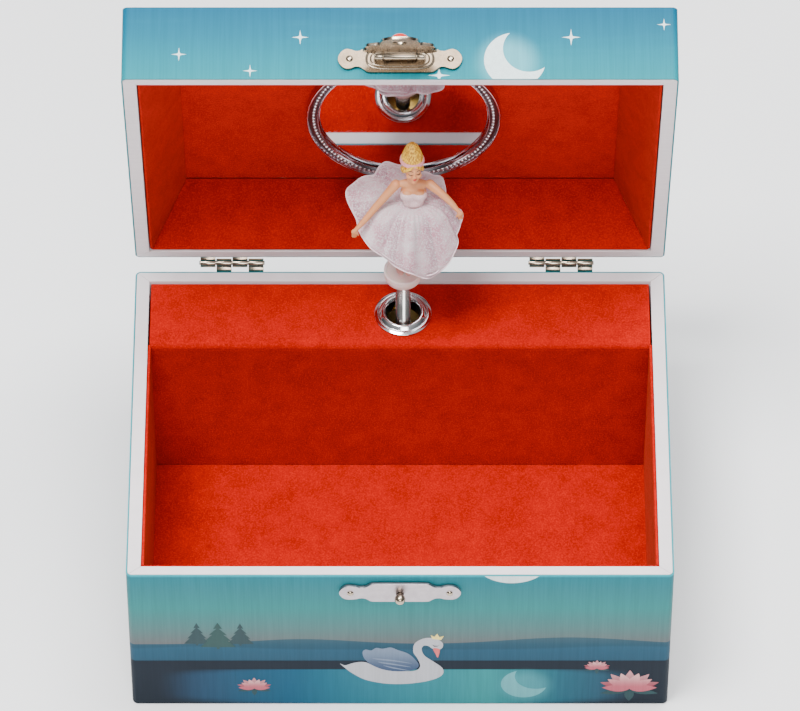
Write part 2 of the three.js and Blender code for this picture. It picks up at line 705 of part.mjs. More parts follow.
function buildWinding() {
  const toothPlane = shaftY + pinionPitch + meshSlack / 2;
  const plate = 1;
  const gear = faceGear(greatTeeth, faceMesh, plate, keyStemRadius - 0.4);
  gear.rotateZ(Math.PI).rotateX(-Math.PI / 2);
  const wheel = add('great_wheel', gear, brass);
  wheel.position.set(keyX, toothPlane, shaftZ);
  const wheelBack = toothPlane + 1.15 * module + plate;
  const radius = greatPitch + 0.9;
  const housingFront = wheelBack + 0.4;
  const housingBack = bedFront - halfGap;
  const floor = 0.7;
  const bore = keyStemRadius + 0.5;
  const cup = turned([
    [bore, 0], [radius, 0], [radius, housingBack - housingFront], [radius - 0.8, housingBack - housingFront],
    [radius - 0.8, floor], [bore, floor], [bore, 0],
  ], 40);
  const housing = add('spring_housing', cup.rotateX(Math.PI / 2), steel);
  housing.position.set(keyX, housingBack, shaftZ);
  const spring = add('mainspring', spiral(keyStemRadius + 1, radius - 1.4, 5, 0.35,
    housingBack - housingFront - floor - 0.5), steel);
  spring.position.set(keyX, housingBack - floor - 0.25, shaftZ);
  const keyStart = boxDepth / 2 + 1.2;
  const stem = keyStemRadius - 0.1;
  const arbor = join(
    rodY(keyStemRadius - 0.3, wheelBack + 0.05, keyStart + 4, 0, 0, 14),
    rodY(keyStemRadius + 0.8, keyStart - 0.1, keyStart + 0.7, 0, 0, 14),
  );
  const arborMesh = add('winding_arbor', arbor, steel);
  arborMesh.position.set(keyX, 0, shaftZ);
  buildKey(keyStart + 0.7 + glueGap, stem);
}

// Flat spiral strip that starts on the arbor side and ends on the housing side.
function spiral(r0, r1, turns, thickness, width) {
  const steps = turns * 12;
  const outer = [];
  const inner = [];
  for (let i = 0; i <= steps; i++) {
    const t = i / steps;
    const a = t * turns * 2 * Math.PI;
    const r = r0 + (r1 - r0) * t;
    outer.push([(r + thickness / 2) * Math.cos(a), (r + thickness / 2) * Math.sin(a)]);
    inner.push([(r - thickness / 2) * Math.cos(a), (r - thickness / 2) * Math.sin(a)]);
  }
  return extrude(polygon([...outer, ...inner.reverse()]), width).applyMatrix4(alongY);
}

function buildKey(y0, stem) {
  const collar = turned([
    [stem, 0], [stem + 1.4, 0], [stem + 1.4, keyCollarLength], [0, keyCollarLength],
    [0, keyCollarLength - 1.3], [stem, keyCollarLength - 1.3], [stem, 0],
  ], 24).rotateX(-Math.PI / 2).translate(0, y0, 0);
  const wing = new THREE.Shape();
  wing.moveTo(0, -2.4);
  wing.bezierCurveTo(keyWing * 0.5, -3, keyWing * 0.8, -6, keyWing, -3.4);
  wing.bezierCurveTo(keyWing * 1.25, 0, keyWing * 1.1, 5.6, keyWing * 0.7, 5.6);
  wing.bezierCurveTo(keyWing * 0.4, 5.6, keyWing * 0.3, 3.4, 0, 3.2);
  wing.bezierCurveTo(-keyWing * 0.3, 3.4, -keyWing * 0.4, 5.6, -keyWing * 0.7, 5.6);
  wing.bezierCurveTo(-keyWing * 1.1, 5.6, -keyWing * 1.25, 0, -keyWing, -3.4);
  wing.bezierCurveTo(-keyWing * 0.8, -6, -keyWing * 0.5, -3, 0, -2.4);
  const blade = extrude(wing, keyBlade, 8).translate(0, y0 + keyBladeReach, -keyBlade / 2);
  const key = add('winding_key', join(collar, blade), nickel);
  key.position.set(keyX, 0, shaftZ);
}

// ---------------------------------------------------------------- hinges

// One leaf: a plate on the back face with a neck up to its own knuckles. Side is -1 below, +1 above.
function hingeLeaf(centreX, side, knuckles) {
  const x0 = centreX - hingeWidth / 2;
  const pitch = hingeWidth / hingeKnuckles;
  const plateBack = -hingeSetback + gap;
  const plateFrontY = plateBack + leafThickness;
  const plate = block(x0, x0 + hingeWidth, plateBack, plateFrontY,
    Math.min(side * leafHeight, side * 2.2), Math.max(side * leafHeight, side * 2.2));
  const pieces = [plate];
  for (const k of knuckles) {
    const k0 = x0 + k * pitch + 0.15;
    const k1 = x0 + (k + 1) * pitch - 0.15;
    const neck = polygon([
      [plateBack, side * 2.6], [plateFrontY, side * 3],
      [knuckleRadius * 0.7, side * knuckleRadius * 0.7], [-knuckleRadius * 0.7, side * knuckleRadius * 0.5],
    ]);
    pieces.push(barX(neck, k0, k1), rodX(knuckleRadius, k0, k1, 0, 0, 14));
  }
  const bore = rodX(hingePinRadius + 0.12, x0 - 1, x0 + hingeWidth + 1, 0, 0, 16);
  return cut(join(...pieces), bore);
}

function buildHinges() {
  for (const [side, name] of [[-1, 'left'], [1, 'right']]) {
    const x = side * hingeSpacing / 2 - 1;
    const base = hingeLeaf(x, -1, [1, 3]).translate(0, hingeY, hingeZ);
    add(`hinge_${name}_base_leaf`, base, nickel);
    const pin = rodX(hingePinRadius, x - hingeWidth / 2 - 0.2, x + hingeWidth / 2 + 0.2, hingeY, hingeZ, 16);
    add(`hinge_${name}_pin`, pin, nickel);
    add(`hinge_${name}_lid_leaf`, hingeLeaf(x, 1, [0, 2]), nickel, lid);
  }
}

// ---------------------------------------------------------------- catch and hasp

// Plate outline with a waisted lobe on each side of a wider middle.
function lobedPlate(width, height, middle) {
  const h = height / 2;
  const half = width / 2;
  const m = middle / 2;
  const ear = h * 0.74;
  const neck = h * 0.5;
  const shape = new THREE.Shape();
  const quarter = [
    [[m * 0.55, h], [m * 0.8, h * 0.98], [m, neck + 0.9]],
    [[m + 0.4, neck], [m + 1.4, neck], [m + 2, neck + 0.5]],
    [[m + 3, ear], [half - 3.4, ear], [half - 2.4, neck]],
    [[half - 1.8, neck * 0.9], [half - 0.2, neck * 0.5], [half, 0]],
  ];
  shape.moveTo(0, h);
  for (const [a, b, c] of quarter) shape.bezierCurveTo(...a, ...b, ...c);
  const back = (list, sx, sy) => {
    for (let i = list.length - 1; i >= 0; i--) {
      const end = i > 0 ? list[i - 1][2] : [0, h];
      const [a, b] = list[i];
      shape.bezierCurveTo(sx * b[0], sy * b[1], sx * a[0], sy * a[1], sx * end[0], sy * end[1]);
    }
  };
  back(quarter, 1, -1);
  for (const [a, b, c] of quarter) {
    shape.bezierCurveTo(-a[0], -a[1], -b[0], -b[1], -c[0], -c[1]);
  }
  back(quarter, -1, 1);
  return shape;
}

const frontFace = -boxDepth / 2;
const plateY = frontFace - gap;
const rodY0 = plateY - plateThickness - haspKnuckleRadius - 0.15;
const rodZ0 = baseHeight + haspRodRise;

function buildCatch() {
  const shape = lobedPlate(catchWidth, catchHeight, 15);
  const plate = plateFront(shape, plateY, plateThickness, 4).translate(0, 0, baseHeight - catchDrop);
  const z = baseHeight - catchPinDrop;
  const bore = rodY(catchPinStem + 0.15, plateY - 3, plateY + 1, 0, z, 20);
  add('catch_plate', cut(plate, bore), nickel);
  const stem = catchPinStem;
  const head = catchPinHead;
  const reach = catchPinReach;
  const profile = [
    [0, 0], [stem, 0], [stem, reach - 2.6], [head * 0.8, reach - 2.5], [head, reach - 1.7],
    [head * 0.93, reach - 0.8], [head * 0.6, reach - 0.2], [0, reach],
  ];
  const pin = turned(profile, 24).rotateX(Math.PI / 2).translate(0, frontFace - halfGap, z);
  add('catch_pin', pin, nickel);
}

function buildHasp() {
  const shape = lobedPlate(catchWidth, catchHeight, 17);
  const plate = plateFront(shape, plateY, plateThickness, 4).translate(0, 0, baseHeight + haspPlateCentre);
  const earInner = haspKnuckleWidth / 2 + 0.25;
  const earOuter = haspRodLength / 2 - 0.3;
  const ears = [-1, 1].map((side) => {
    const x0 = side > 0 ? earInner : -earOuter;
    const x1 = side > 0 ? earOuter : -earInner;
    const eye = rodX(haspKnuckleRadius, x0, x1, rodY0, rodZ0, 14);
    const foot = block(x0, x1, rodY0, plateY - 0.2, rodZ0 - haspKnuckleRadius, rodZ0 - 0.2);
    return join(eye, foot);
  });
  const bore = rodX(haspRodRadius + 0.1, -haspRodLength, haspRodLength, rodY0, rodZ0, 16);
  addToLid('hasp_plate', cut(join(plate, ...ears), bore), nickel);
  const pin = rodX(haspRodRadius, -haspRodLength / 2, haspRodLength / 2, rodY0, rodZ0, 16);
  addToLid('hasp_pin', pin, nickel);

  const flap = new THREE.Group();
  flap.position.set(0, rodY0 - hingeY, rodZ0 - hingeZ);
  flap.rotation.x = -haspLift;
  lid.add(flap);
  const w = haspWidth / 2;
  const outline = new THREE.Shape();
  const half = haspKnuckleWidth / 2;
  const right = [
    [[half, -1.4], [half + 0.4, -2], [half + 1.4, -2.6]],
    [[w - 2, -3], [w, -4.6], [w - 0.4, -6.4]],
    [[w - 0.8, -7.6], [w - 1.6, -8], [w - 2, -8.4]],
    [[w - 0.6, -9], [w - 0.4, -11], [w - 2, -12]],
    [[w - 3.6, -12.8], [w - 4.6, -13], [w - 4.8, -14]],
    [[w - 4.6, -16.4], [w - 6.6, -haspReach + 0.2], [0, -haspReach]],
  ];
  outline.moveTo(half, 0);
  for (const [a, b, c] of right) outline.bezierCurveTo(...a, ...b, ...c);
  for (let i = right.length - 1; i >= 0; i--) {
    const [a, b] = right[i];
    const end = i > 0 ? right[i - 1][2] : [half, 0];
    outline.bezierCurveTo(-b[0], b[1], -a[0], a[1], -end[0], end[1]);
  }
  outline.closePath();
  const face = plateFront(outline, 0, plateThickness, 4).translate(0, 0.1, 0);
  const knuckle = rodX(haspKnuckleRadius, -half, half, 0, 0, 14);
  const rodBore = rodX(haspRodRadius + 0.12, -half - 1, half + 1, 0, 0, 16);
  const catchReach = haspRodRise + catchPinDrop;
  const eyeHole = rodY(catchPinHead + 0.35, -2, 2, 0, -catchReach, 24);
  add('hasp_flap', cut(join(face, knuckle), rodBore, eyeHole), nickel, flap);
  const dome = [[0, 0], [jewelRadius, 0]];
  for (let i = 1; i < 5; i++) {
    const a = i * Math.PI / 10;
    dome.push([jewelRadius * Math.cos(a), jewelHeight * Math.sin(a)]);
  }
  dome.push([0, jewelHeight]);
  const jewel = turned(dome, 20).rotateX(Math.PI / 2);
  jewel.translate(0, 0.1 - plateThickness - halfGap, -jewelDistance);
  add('hasp_jewel', jewel, redJewel, flap);
}

// ---------------------------------------------------------------- lid

function buildLidCarcass() {
  const top = seam + lidHeight;
  const underTop = top - paper - glueGap - lidTopBoard;
  const boards = mitredBoards(seam, underTop - glueGap);
  for (const name of ['front', 'back', 'left', 'right']) {
    addToLid(`lid_${name}_board`, trimCorners(boards[name], seam, underTop - glueGap), whiteEdge);
  }
  const inset = paper + glueGap;
  const outline = roundedRectangle(boxWidth / 2 - inset, boxDepth / 2 - inset, cornerRadius - inset);
  addToLid('lid_top_board', extrude(outline, lidTopBoard, 4).translate(0, 0, underTop), whiteEdge);
  const shell = roundedRectangle(boxWidth / 2, boxDepth / 2, cornerRadius);
  const hollow = roundedRectangle(boxWidth / 2 - paper, boxDepth / 2 - paper, cornerRadius - paper);
  const skinOuter = extrude(shell, lidHeight - glueGap, 4).translate(0, 0, seam + glueGap);
  const skinInner = extrude(hollow, lidHeight, 4).translate(0, 0, seam - paper);
  addToLid('lid_print_wrap', cut(skinOuter, skinInner), printedTeal);
}

// Inner edges of the lid lining: the rim loop below and the ceiling loop above.
function buildLidLining() {
  const m = glueGap;
  const rimZ = seam + 0.3;
  const topZ = seam + liningDepth;
  const rim = { x: innerX - feltCard - m, front: innerFront + feltCard + m, back: innerBack - feltCard - m };
  const top = {
    x: innerX - liningSlope, front: innerFront + liningSlope, back: innerBack - liningSlope,
  };
  const corner = (ring, sx, y, z) => vector(sx * ring.x, y, z);
  const panel = (a, b, c, d, inward) => {
    const normal = b.clone().sub(a).cross(d.clone().sub(a)).normalize();
    if (normal.dot(inward) > 0) normal.negate();
    const centre = a.clone().add(b).add(c).add(d).multiplyScalar(0.25);
    const shrink = [a, b, c, d].map((p) => p.clone().lerp(centre, 0.004));
    return prism(shrink, normal.multiplyScalar(feltCard));
  };
  const z = topZ - 0.2;
  const walls = {
    front: panel(corner(rim, -1, rim.front, rimZ), corner(rim, 1, rim.front, rimZ),
      corner(top, 1, top.front, z), corner(top, -1, top.front, z), vector(0, 1, -1)),
    back: panel(corner(rim, -1, rim.back, rimZ), corner(rim, 1, rim.back, rimZ),
      corner(top, 1, top.back, z), corner(top, -1, top.back, z), vector(0, -1, -1)),
    left: panel(corner(rim, -1, rim.front, rimZ), corner(rim, -1, rim.back, rimZ),
      corner(top, -1, top.back, z), corner(top, -1, top.front, z), vector(1, 0, -1)),
    right: panel(corner(rim, 1, rim.front, rimZ), corner(rim, 1, rim.back, rimZ),
      corner(top, 1, top.back, z), corner(top, 1, top.front, z), vector(-1, 0, -1)),
  };
  for (const name of ['front', 'back', 'left', 'right']) {
    addToLid(`lid_lining_${name}`, walls[name], redFelt);
  }
  const ceiling = block(-top.x, top.x, top.front, top.back, topZ, topZ + feltCard);
  addToLid('lid_lining_ceiling', ceiling, redFelt);
}

const mirrorX = 1;
const mirrorY = (innerFront + innerBack) / 2;

function ellipse(halfX, halfY) {
  const shape = new THREE.Shape();
  shape.absellipse(0, 0, halfX, halfY, 0, 2 * Math.PI);
  return shape;
}

function buildMirror() {
  const z = seam + liningDepth - halfGap;
  const glassX = mirrorHalfWidth - mirrorFrameWidth + 1;
  const glassY = mirrorHalfLength - mirrorFrameWidth + 1;
  const glass = extrude(ellipse(glassX, glassY), mirrorThickness, 24);
  addToLid('mirror_glass', glass.translate(mirrorX, mirrorY, z - mirrorThickness), mirrorGlass);
  const section = [
    [0, 0], [0, -mirrorFrameHeight * 0.45], [0.9, -mirrorFrameHeight],
    [mirrorFrameWidth - 1.3, -mirrorFrameHeight], [mirrorFrameWidth, -mirrorThickness - gap],
    [mirrorFrameWidth - 1.3, -mirrorThickness - gap], [mirrorFrameWidth - 1.3, 0],
  ];
  addToLid('mirror_frame', ovalRing(section, 44).translate(mirrorX, mirrorY, z), silverTrim);
}

// A closed section swept round the oval. Insets are measured inward from its outer edge.
function ovalRing(profile, sides) {
  const positions = [];
  const faces = [];
  const rows = profile.length;
  for (let i = 0; i < sides; i++) {
    const a = i / sides * 2 * Math.PI;
    for (const [inset, rise] of profile) {
      positions.push((mirrorHalfWidth - inset) * Math.cos(a), (mirrorHalfLength - inset) * Math.sin(a), rise);
    }
  }
  for (let i = 0; i < sides; i++) {
    const next = (i + 1) % sides;
    for (let j = 0; j < rows; j++) {
      const k = (j + 1) % rows;
      faces.push(i * rows + j, next * rows + k, next * rows + j);
      faces.push(i * rows + j, i * rows + k, next * rows + k);
    }
  }
  const geometry = new THREE.BufferGeometry();
  geometry.setAttribute('position', new THREE.Float32BufferAttribute(positions, 3));
  geometry.setIndex(faces);
  geometry.computeVertexNormals();
  return geometry;
}

// ---------------------------------------------------------------- whole object

buildBaseCarcass();
buildTray();
buildMovementCover();
buildGrommet();
buildSpring();
buildPedestal();
buildDancer();
buildSkirt();
buildBedplate();
buildBearings();
buildCylinder();
buildComb();
buildGovernor();
buildSpindle();
buildWinding();
buildHinges();
buildCatch();
buildHasp();
buildLidCarcass();
buildLidLining();
buildMirror();

export default box;
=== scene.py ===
"""Looks of a wind-up musical jewellery box with a dancer on a spring post.

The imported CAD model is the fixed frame. Metres, +X right, +Y back, +Z up. Pieces of the lid are drawn
where they lie when it is shut, and then carried to the open rest pose by the lid's own hinge.
"""

import json
import math
import random

import bmesh
import bpy
from mathutils import Matrix, Vector, noise
from mathutils.bvhtree import BVHTree


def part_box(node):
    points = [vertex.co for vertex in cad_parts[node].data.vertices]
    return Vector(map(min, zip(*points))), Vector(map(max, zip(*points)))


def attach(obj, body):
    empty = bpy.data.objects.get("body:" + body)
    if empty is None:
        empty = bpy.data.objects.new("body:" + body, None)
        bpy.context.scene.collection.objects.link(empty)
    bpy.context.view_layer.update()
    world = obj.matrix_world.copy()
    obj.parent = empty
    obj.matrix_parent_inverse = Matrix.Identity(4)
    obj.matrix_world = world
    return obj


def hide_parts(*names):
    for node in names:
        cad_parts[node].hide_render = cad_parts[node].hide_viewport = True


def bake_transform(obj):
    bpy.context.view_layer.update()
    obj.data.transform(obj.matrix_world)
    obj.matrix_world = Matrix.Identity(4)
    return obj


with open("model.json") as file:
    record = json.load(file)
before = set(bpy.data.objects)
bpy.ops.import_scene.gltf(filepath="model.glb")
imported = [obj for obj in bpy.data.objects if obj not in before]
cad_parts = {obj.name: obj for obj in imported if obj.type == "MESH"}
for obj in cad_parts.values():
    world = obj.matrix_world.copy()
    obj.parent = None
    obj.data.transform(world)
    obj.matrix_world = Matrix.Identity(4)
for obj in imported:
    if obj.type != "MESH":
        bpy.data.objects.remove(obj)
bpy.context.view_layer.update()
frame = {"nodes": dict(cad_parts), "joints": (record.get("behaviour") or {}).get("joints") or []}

MM = 0.001
WELD = 1e-7
TAU = 2 * math.pi
JOINTS = {j["name"]: j for j in frame["joints"]}
NODES = frame["nodes"]


# ------------------------------------------------------------------ places, all from the frame

def joint_point(name):
    return Vector(JOINTS[name]["pos_m"])


LID_HINGE = joint_point("lid_hinge")
LID_ANGLE = math.radians(JOINTS["lid_hinge"]["range_deg"][1])
HASP_PIVOT = joint_point("hasp_hinge")
HASP_ANGLE = math.radians(-JOINTS["hasp_hinge"]["range_deg"][0])


def turn_about(point, angle, axis="X"):
    return Matrix.Translation(point) @ Matrix.Rotation(angle, 4, axis) @ Matrix.Translation(-point)


OPEN_LID = turn_about(LID_HINGE, -LID_ANGLE)
SHUT_LID = OPEN_LID.inverted()
SHUT_PIVOT = SHUT_LID @ HASP_PIVOT
LIFT_HASP = OPEN_LID @ turn_about(SHUT_PIVOT, -HASP_ANGLE)


def shut_box(node):
    """A lid node's lowest and highest corners with the lid shut."""
    points = [SHUT_LID @ v.co for v in NODES[node].data.vertices]
    low = Vector([min(p[i] for p in points) for i in range(3)])
    high = Vector([max(p[i] for p in points) for i in range(3)])
    return low, high


BASE_LOW, BASE_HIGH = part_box("base_print_wrap")
LID_LOW, LID_HIGH = shut_box("lid_print_wrap")
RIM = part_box("base_front_board")[1].z
POST_X, POST_Y = joint_point("figure_turn").x, joint_point("figure_turn").y
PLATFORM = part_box("movement_cover_top")[1].z
PEDESTAL_LOW, PEDESTAL_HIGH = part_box("pedestal")
FRONT = BASE_LOW.y
ON_POST = Matrix.Translation((POST_X, POST_Y, 0))


# ------------------------------------------------------------------ node helpers

class Shade:
    """A Principled material and short calls for the nodes that feed it."""

    def __init__(self, name, color=(0.8, 0.8, 0.8), rough=0.5, metal=0.0, **more):
        self.material = bpy.data.materials.new(name)
        self.material.use_nodes = True
        self.tree = self.material.node_tree
        self.shader = self.tree.nodes["Principled BSDF"]
        self.set("Base Color", (*color, 1))
        self.set("Roughness", rough)
        self.set("Metallic", metal)
        for key, value in more.items():
            self.set(key.replace("_", " "), value)
        self.material.diffuse_color = (*color, 1)
        self.coords = self.node("ShaderNodeTexCoord").outputs["Object"]

    def set(self, socket, value):
        self.shader.inputs[socket].default_value = value

    def node(self, kind, **props):
        made = self.tree.nodes.new(kind)
        for key, value in props.items():
            setattr(made, key, value)
        return made

    def link(self, source, target):
        self.tree.links.new(source, target)

    def feed(self, node, index, value):
        if isinstance(value, bpy.types.NodeSocket):
            self.link(value, node.inputs[index])
        else:
            node.inputs[index].default_value = value

    def math(self, operation, a, b=0.0):
        made = self.node("ShaderNodeMath", operation=operation)
        self.feed(made, 0, a)
        self.feed(made, 1, b)
        return made.outputs[0]

    def scaled(self, scale, coords=None):
        made = self.node("ShaderNodeMapping")
        self.link(coords or self.coords, made.inputs["Vector"])
        made.inputs["Scale"].default_value = scale
        return made.outputs["Vector"]

    def noise(self, scale, detail=3.0, rough=0.5, coords=None):
        made = self.node("ShaderNodeTexNoise")
        self.link(coords or self.coords, made.inputs["Vector"])
        made.inputs["Scale"].default_value = scale
        made.inputs["Detail"].default_value = detail
        made.inputs["Roughness"].default_value = rough
        return made.outputs[0]

    def span(self, value, low, high, to_low=0.0, to_high=1.0):
        made = self.node("ShaderNodeMapRange", interpolation_type="SMOOTHSTEP")
        self.feed(made, 0, value)
        for index, number in enumerate((low, high, to_low, to_high), start=1):
            made.inputs[index].default_value = number
        return made.outputs[0]

    def ramp(self, value, stops):
        made = self.node("ShaderNodeValToRGB")
        self.feed(made, 0, value)
        elements = made.color_ramp.elements
        while len(elements) < len(stops):
            elements.new(0.5)
        for element, (place, color) in zip(elements, stops):
            element.position = place
            element.color = (*color, 1)
        return made.outputs[0]

    def mix(self, factor, a, b, blend="MIX"):
        made = self.node("ShaderNodeMix", data_type="RGBA", blend_type=blend)
        self.feed(made, 0, factor)
        self.feed(made, 6, a if isinstance(a, bpy.types.NodeSocket) else (*a, 1))
        self.feed(made, 7, b if isinstance(b, bpy.types.NodeSocket) else (*b, 1))
        return made.outputs[2]

    def color(self, source):
        self.link(source, self.shader.inputs["Base Color"])

    def roughness(self, source, low, high):
        self.link(self.span(source, 0, 1, low, high), self.shader.inputs["Roughness"])

    def bump(self, height, strength, distance):
        made = self.node("ShaderNodeBump")
        made.inputs["Strength"].default_value = strength
        made.inputs["Distance"].default_value = distance
        self.link(height, made.inputs["Height"])
        self.link(made.outputs[0], self.shader.inputs["Normal"])

    def axis(self, name, coords=None):
        made = self.node("ShaderNodeSeparateXYZ")
        self.link(coords or self.coords, made.inputs[0])
        return made.outputs[name]


def srgb(red, green, blue):
    """Screen colour from 0 to 255 to the linear colour that shaders use."""
    return tuple(((c / 255 + 0.055) / 1.055) ** 2.4 if c > 10 else c / 3294 for c in (red, green, blue))


# ------------------------------------------------------------------ materials

def white_edge():
    s = Shade("white_edge", rough=0.5)
    grain = s.noise(1.0, 4, 0.6, s.scaled((90, 90, 1400)))
    s.color(s.mix(grain, srgb(214, 206, 208), srgb(236, 230, 232)))
    s.bump(s.noise(2600, 3), 0.12, 0.0002)
    return s.material


def red_felt():
    s = Shade("red_felt", rough=0.95, Sheen_Weight=0.12, Sheen_Roughness=0.5)
    s.set("Sheen Tint", (1.0, 0.22, 0.10, 1))
    s.set("Specular IOR Level", 0.05)
    patches = s.noise(150, 5, 0.65)
    nap = s.noise(2300, 4, 0.7)
    base = s.mix(s.span(patches, 0.3, 0.7), (0.30, 0.0016, 0.0003), (0.41, 0.0034, 0.0007))
    # Fibre-scale noise lifts the felt towards a bright red: partly the nap's own grain, partly a painted
    # highlight on the nap.
    tone = s.span(nap, 0.42, 0.68, 0.0, 0.55)
    s.color(s.mix(tone, base, (0.72, 0.012, 0.003)))
    s.bump(s.math("ADD", nap, s.math("MULTIPLY", patches, 0.6)), 0.55, 0.00035)
    return s.material


def nickel(name, color, rough):
    s = Shade(name, srgb(*color), rough, 1.0)
    wear = s.noise(420, 4, 0.6)
    s.color(s.mix(wear, srgb(*[c - 22 for c in color]), srgb(*[min(255, c + 18) for c in color])))
    s.roughness(s.noise(500, 3, 0.5), rough - 0.05, rough + 0.08)
    s.bump(s.noise(700, 2), 0.03, 0.00003)
    return s.material


def print_streaks(s, color, coords=None):
    """Fine upright streaks of the printed paper, over its colour."""
    fine = s.noise(1.0, 3, 0.6, s.scaled((2600, 2600, 60), coords))
    broad = s.noise(1.0, 3, 0.5, s.scaled((700, 700, 25), coords))
    both = s.math("ADD", s.math("MULTIPLY", fine, 0.6), s.math("MULTIPLY", broad, 0.4))
    grey = s.span(both, 0.34, 0.66, 0.93, 1.07)
    return s.mix(1.0, color, grey, "MULTIPLY")


def moonlight(s, picture, coords, centre, reach, strength, color):
    """Lightens the print round a point, as a painted halo does."""
    away = s.node("ShaderNodeVectorMath", operation="DISTANCE")
    s.link(coords, away.inputs[0])
    away.inputs[1].default_value = centre
    near = s.span(away.outputs["Value"], 0.35 * reach * MM, reach * MM, strength, 0.0)
    return s.mix(near, picture, color)


def hump(s, x, centre, width, height):
    """A smooth hill: height at its centre, falling away over width."""
    offset = s.math("DIVIDE", s.math("SUBTRACT", x, centre * MM), width * MM)
    falling = s.math("EXPONENT", s.math("MULTIPLY", s.math("MULTIPLY", offset, offset), -1.0))
    return s.math("MULTIPLY", falling, height * MM)


def base_print():
    """Evening sky, far hills, a dark shore and a lake, by height on the base."""
    s = Shade("base_print", rough=0.45)
    s.set("Specular IOR Level", 0.06)
    x = s.axis("X")
    z = s.axis("Z")
    height = s.math("DIVIDE", z, RIM)
    # The last stop, at the very top where the wrap turns over the rim, is a painted highlight along the top
    # edge; the stops below it are the printed sky.
    sky = s.ramp(height, [
        (0.48, (0.114, 0.122, 0.125)), (0.60, (0.072, 0.165, 0.165)), (0.75, (0.032, 0.199, 0.197)),
        (0.90, (0.024, 0.170, 0.195)), (0.985, (0.014, 0.163, 0.202)), (0.995, (0.014, 0.288, 0.346)),
    ])
    top = s.math("ADD", hump(s, x, -27, 20, 2.4), hump(s, x, 47, 24, 3.2))
    skyline = s.math("ADD", top, 28.0 * MM)
    in_hills = s.span(s.math("SUBTRACT", skyline, z), -0.00008, 0.00008)
    hills = s.ramp(height, [
        (0.33, (0.012, 0.028, 0.046)), (0.36, (0.014, 0.044, 0.070)), (0.42, (0.016, 0.056, 0.090)),
        (0.47, (0.021, 0.068, 0.101)), (0.52, (0.040, 0.086, 0.112)),
    ])
    near = s.math("ADD", hump(s, x, -55, 17, 1.4), hump(s, x, 62, 20, 1.6))
    near_line = s.math("ADD", near, 25.6 * MM)
    in_near = s.span(s.math("SUBTRACT", near_line, z), -0.0006, 0.0006, 0.0, 0.45)
    hills = s.mix(in_near, hills, (0.023, 0.093, 0.153))
    picture = s.mix(in_hills, sky, hills)
    in_shore = s.span(s.math("SUBTRACT", 20.4 * MM, z), -0.00012, 0.00012)
    picture = s.mix(in_shore, picture, (0.011, 0.017, 0.026))
    across = s.math("DIVIDE", s.math("ADD", x, 75 * MM), 150 * MM)
    water = s.ramp(across, [
        (0.08, (0.018, 0.042, 0.080)), (0.30, (0.010, 0.078, 0.140)), (0.50, (0.019, 0.158, 0.202)),
        (0.66, (0.024, 0.211, 0.221)), (0.80, (0.018, 0.094, 0.136)), (0.93, (0.020, 0.050, 0.084)),
    ])
    flat_x = s.math("DIVIDE", x, 67 * MM)
    flat_z = s.math("DIVIDE", s.math("SUBTRACT", z, 8.4 * MM), 8.0 * MM)
    ring = s.math("ADD", s.math("MULTIPLY", flat_x, flat_x), s.math("MULTIPLY", flat_z, flat_z))
    shallow = s.math("ADD", s.math("MULTIPLY", flat_x, flat_x), 0.0)
    in_lake = s.math("MULTIPLY", s.span(ring, 1.9, 1.0), s.span(shallow, 1.04, 0.66))
    below = s.span(s.math("SUBTRACT", 16.2 * MM, z), -0.0002, 0.0002)
    picture = s.mix(s.math("MULTIPLY", in_lake, below), picture, water)
    picture = moonlight(s, picture, s.coords, (35 * MM, FRONT, 8.6 * MM), 9, 0.3, (0.12, 0.44, 0.48))
    s.color(print_streaks(s, picture))
    s.bump(s.noise(1.0, 3, 0.6, s.scaled((2600, 2600, 60))), 0.06, 0.0001)
    return s.material


def lid_coordinates(s):
    """Places on the lid as they are when it is shut, from places in the open rest pose."""
    made = s.node("ShaderNodeVectorRotate", rotation_type="X_AXIS")
    s.link(s.coords, made.inputs["Vector"])
    made.inputs["Center"].default_value = LID_HINGE
    made.inputs["Angle"].default_value = LID_ANGLE
    return made.outputs[0]


def lid_print():
    """Night sky that pales towards the seam, and deepens over the top of the lid."""
    s = Shade("lid_print", rough=0.45)
    s.set("Specular IOR Level", 0.10)
    shut = lid_coordinates(s)
    z = s.axis("Z", shut)
    y = s.axis("Y", shut)
    height = s.math("DIVIDE", s.math("SUBTRACT", z, LID_LOW.z), LID_HIGH.z - LID_LOW.z)
    sky = s.ramp(height, [
        (0.0, (0.005, 0.203, 0.242)), (0.25, (0.002, 0.182, 0.236)), (0.6, (0.000, 0.135, 0.208)),
        (1.0, (0.000, 0.096, 0.177)),
    ])
    along = s.math("DIVIDE", s.math("SUBTRACT", y, LID_LOW.y), LID_HIGH.y - LID_LOW.y)
    over = s.ramp(along, [
        (0.0, (0.000, 0.096, 0.177)), (0.4, (0.000, 0.068, 0.135)), (1.0, (0.000, 0.034, 0.078)),
    ])
    on_top = s.span(height, 0.992, 0.997)
    cloud = s.noise(1.0, 4, 0.55, s.scaled((16, 70, 160), shut))
    picture = s.mix(on_top, sky, over)
    picture = s.mix(s.span(cloud, 0.5, 0.75, 0.0, 0.12), picture, (0.02, 0.30, 0.36))
    halo = (29 * MM, FRONT, LID_LOW.z + 5 * MM)
    picture = moonlight(s, picture, shut, halo, 10.5, 0.6, (0.16, 0.52, 0.60))
    s.color(print_streaks(s, picture, shut))
    s.bump(s.noise(1.0, 3, 0.6, s.scaled((2600, 60, 60), shut)), 0.05, 0.0001)
    return s.material


def ink(name, color, shade=None, low=0.0, high=1.0, rough=0.42):
    """Printed ink that can run from one colour to another between two heights."""
    s = Shade(name, srgb(*color), rough)
    s.set("Specular IOR Level", 0.15)
    base = srgb(*color)
    picture = s.mix(s.noise(900, 3), base, tuple(c * 0.96 for c in base))
    if shade:
        picture = s.mix(s.span(s.axis("Z"), low * MM, high * MM), srgb(*shade), picture)
    s.color(print_streaks(s, picture))
    return s.material


